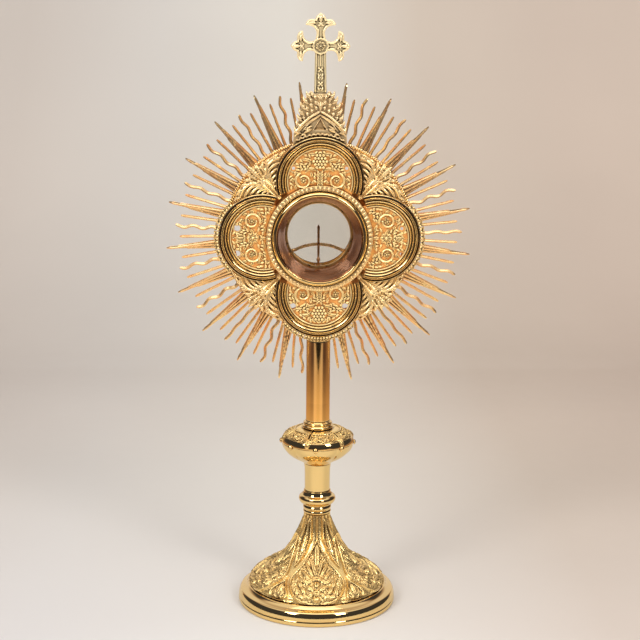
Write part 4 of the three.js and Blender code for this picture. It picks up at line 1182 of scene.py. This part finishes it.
def table_card():
    """The pale table: warmer and darker away from the object, and darkest to either side of the front."""
    m = Nodes("table_card")
    x, y, _ = m.add("SeparateXYZ", {0: m.place}).outputs
    away = m.add("VectorMath", {0: m.place}, operation="LENGTH").outputs["Value"]
    tone = m.ramp(m.calc("MULTIPLY", away, 0.6), [
        (0.28, (0.8, 0.76, 0.68)), (0.37, (0.84, 0.64, 0.38)), (0.45, (0.82, 0.53, 0.26)),
        (0.54, (0.62, 0.39, 0.19)), (0.66, (0.46, 0.31, 0.17))])
    # 0 straight in front of the object, 1 straight behind it
    turn = m.calc("DIVIDE", m.calc("ABSOLUTE", m.calc("ARCTAN2", x, m.calc("MULTIPLY", y, -1.0))), math.pi)
    near_side = m.greys(turn, [(0.0, 1.0), (0.22, 0.97), (0.42, 0.84), (0.75, 0.9)])
    far_side = m.ramp(turn, [
        (0.0, (0.8, 0.8, 0.8)), (0.17, (1.1, 1.2, 1.7)), (0.22, (0.9, 0.9, 1.2)), (0.27, (0.14, 0.1, 0.16)),
        (0.38, (0.18, 0.12, 0.16)), (0.5, (0.5, 0.38, 0.4)), (0.75, (0.64, 0.52, 0.5))])
    sides = m.mix(m.fit(away, 0.5, 1.1), near_side, far_side)
    # a dark wedge that opens towards the front
    wedge = m.fit(away, 1.0, 1.22, 0.02, 0.17)
    inside = m.fit(m.calc("SUBTRACT", turn, wedge), -0.02, 0.01)
    beyond = m.fit(away, 0.98, 1.04)
    open_part = m.calc("SUBTRACT", 1.0, m.calc("MULTIPLY", beyond, m.calc("SUBTRACT", 1.0, inside)))
    m.link(m.mix(1.0, m.mix(1.0, tone, sides, "MULTIPLY"), open_part, "MULTIPLY"), "Base Color")
    m.link(m.between(m.noise(30.0), 0.6, 0.75), "Roughness")
    m.shader.inputs["Specular IOR Level"].default_value = 0.15
    return m.owner


def stage_strip(name, outline, width, material):
    """A band of the stage, from points (y, z) in metres."""
    verts = [(x, y, z) for y, z in outline for x in (-width, width)]
    faces = [(2 * i, 2 * i + 1, 2 * i + 3, 2 * i + 2) for i in range(len(outline) - 1)]
    mesh = bpy.data.meshes.new(name)
    mesh.from_pydata(verts, [], faces)
    mesh.materials.append(material)
    mesh.shade_smooth()
    strip_object = bpy.data.objects.new(name, mesh)
    bpy.context.scene.collection.objects.link(strip_object)
    return strip_object


CURVE_Y, CURVE_R = 1.0, 1.5
FRONT_Y = -3.0
curve = [(CURVE_Y + CURVE_R * math.sin(a), CURVE_R * (1 - math.cos(a)))
    for a in np.linspace(0, math.pi / 2, 40)]
# The backdrop's tones across the stage, lighter in the middle and darker and warmer to the sides: painted
# light and shade.
sweep_paper = stage_strip("backdrop", [(FRONT_Y, 0), *curve, (CURVE_Y + CURVE_R, 4)], 5,
                          paper("backdrop_paper", [(0, (0.792, 0.708, 0.642)), (0.25, (0.864, 0.81, 0.756)),
                                                   (0.5, (0.96, 0.906, 0.828)), (0.75, (0.828, 0.708, 0.6)),
                                                   (1, (0.816, 0.678, 0.576))]))
sweep_paper.visible_glossy = False
sweep_paper.visible_shadow = False

rise = [(FRONT_Y - 2 * math.sin(a), 2 * (1 - math.cos(a))) for a in np.linspace(0, math.pi / 2, 30)]
front_paper = stage_strip("front_backdrop", [*rise, (FRONT_Y - 2, 4)], 5, sweep_paper.data.materials[0])
for flag in ("visible_diffuse", "visible_glossy", "visible_shadow"):
    setattr(front_paper, flag, False)

table = stage_strip("table", [(-1.5, 0.0001), (1.4, 0.0001)], 1.4, table_card())
for flag in ("visible_camera", "visible_diffuse", "visible_shadow"):
    setattr(table, flag, False)


def world():
    """A dark room with a bright backdrop, a pale ceiling and a few bright strips low down."""
    w = Nodes("studio", "worlds")
    bpy.context.scene.world = w.owner
    x, y, z = w.add("SeparateXYZ", {0: w.place}).outputs
    azimuth = w.calc("ADD", w.calc("DIVIDE", w.calc("ARCTAN2", x, w.calc("MULTIPLY", y, -1.0)), TAU), 0.5)

    def levels(*stops):
        """Brightness by the angle from straight in front, in degrees."""
        return w.greys(azimuth, [(at / 360 + 0.5, level) for at, level in stops])

    def above(low, high):
        return w.fit(z, low, high, interpolation_type="SMOOTHSTEP")

    floor = levels((-180, 0.75), (-158, 0.7), (-150, 0.3), (-120, 0.4), (-90, 0.3), (-62, 0.1), (-45, 0.1),
                   (-40, 0.28), (-34, 0.28), (-30, 0.03), (26, 0.03), (30, 0.25), (36, 0.2), (41, 0.1),
                   (62, 0.1), (90, 0.3), (120, 0.4), (158, 0.7), (180, 0.75))
    walls = levels((-180, 0.75), (-148, 0.7), (-132, 0.07), (-118, 0.05), (118, 0.05), (132, 0.07),
        (148, 0.7), (180, 0.75))
    ceiling = levels((-180, 0.55), (-150, 0.5), (-110, 0.8), (0, 0.85), (110, 0.8), (150, 0.5), (180, 0.55))
    level = w.mix(above(0.6, 0.78), w.mix(above(-0.1, -0.04), floor, walls), ceiling)
    tint = w.ramp(level, [(0.05, (0.85, 0.88, 1.1)), (0.14, (1, 0.68, 0.55)), (0.8, (1, 0.95, 0.9))])
    room = w.add("Background", {"Color": tint, "Strength": level})
    plain = w.add("Background", {"Color": (1.0, 0.98, 0.95, 1), "Strength": 0.62})
    ray_kind = w.add("LightPath").outputs
    is_plain = w.calc("MAXIMUM", ray_kind["Is Diffuse Ray"], ray_kind["Is Camera Ray"])
    both = w.add("MixShader", {0: is_plain, 1: room.outputs[0], 2: plain.outputs[0]})
    w.tree.links.new(both.outputs[0], w.tree.nodes["World Output"].inputs[0])


world()


def softbox(name, azimuth, elevation, distance, width, height, power, color=(1, 0.985, 0.96)):
    """An area light that looks at the middle of the object. Azimuth 0 is straight in front."""
    a, e = math.radians(azimuth), math.radians(elevation)
    at = Vector((math.sin(a) * math.cos(e), -math.cos(a) * math.cos(e), math.sin(e))) * distance
    light = bpy.data.lights.new(name, "AREA")
    light.shape = "RECTANGLE"
    light.size, light.size_y = width, height
    light.energy = power
    light.color = color
    holder = bpy.data.objects.new(name, light)
    bpy.context.scene.collection.objects.link(holder)
    target = Vector((0, 0, 0.3))
    holder.location = target + at
    holder.rotation_euler = (-at).to_track_quat("-Z", "Y").to_euler()
    return holder


softbox("key_left", -42, 34, 2.4, 0.7, 0.9, 17)
softbox("key_right", 36, 32, 2.4, 0.55, 0.9, 13)
softbox("overhead", 0, 80, 2.2, 1.8, 1.8, 11)

# ------------------------------------------------------------------ camera
camera_data = bpy.data.cameras.new("camera")
camera_data.sensor_width = 36
camera_data.lens = 89.81
camera_data.shift_x = 0.0023
camera_data.clip_end = 200
camera = bpy.data.objects.new("camera", camera_data)
bpy.context.scene.collection.objects.link(camera)
bpy.context.scene.camera = camera
azimuth, pitch, roll = (math.radians(v) for v in (-1.843, 12.17, 0.45))
forward = Vector((-math.sin(azimuth) * math.cos(pitch), math.cos(azimuth) * math.cos(pitch),
    -math.sin(pitch)))
level = Vector((math.cos(azimuth), math.sin(azimuth), 0))
above = level.cross(forward)
right = level * math.cos(roll) + above * math.sin(roll)
up = above * math.cos(roll) - level * math.sin(roll)
turn = Matrix((right, up, -forward)).transposed()
camera.matrix_world = Matrix.Translation((-0.05133, -1.5953, 0.64536)) @ turn.to_4x4()
bpy.context.scene.view_settings.view_transform = "Standard"
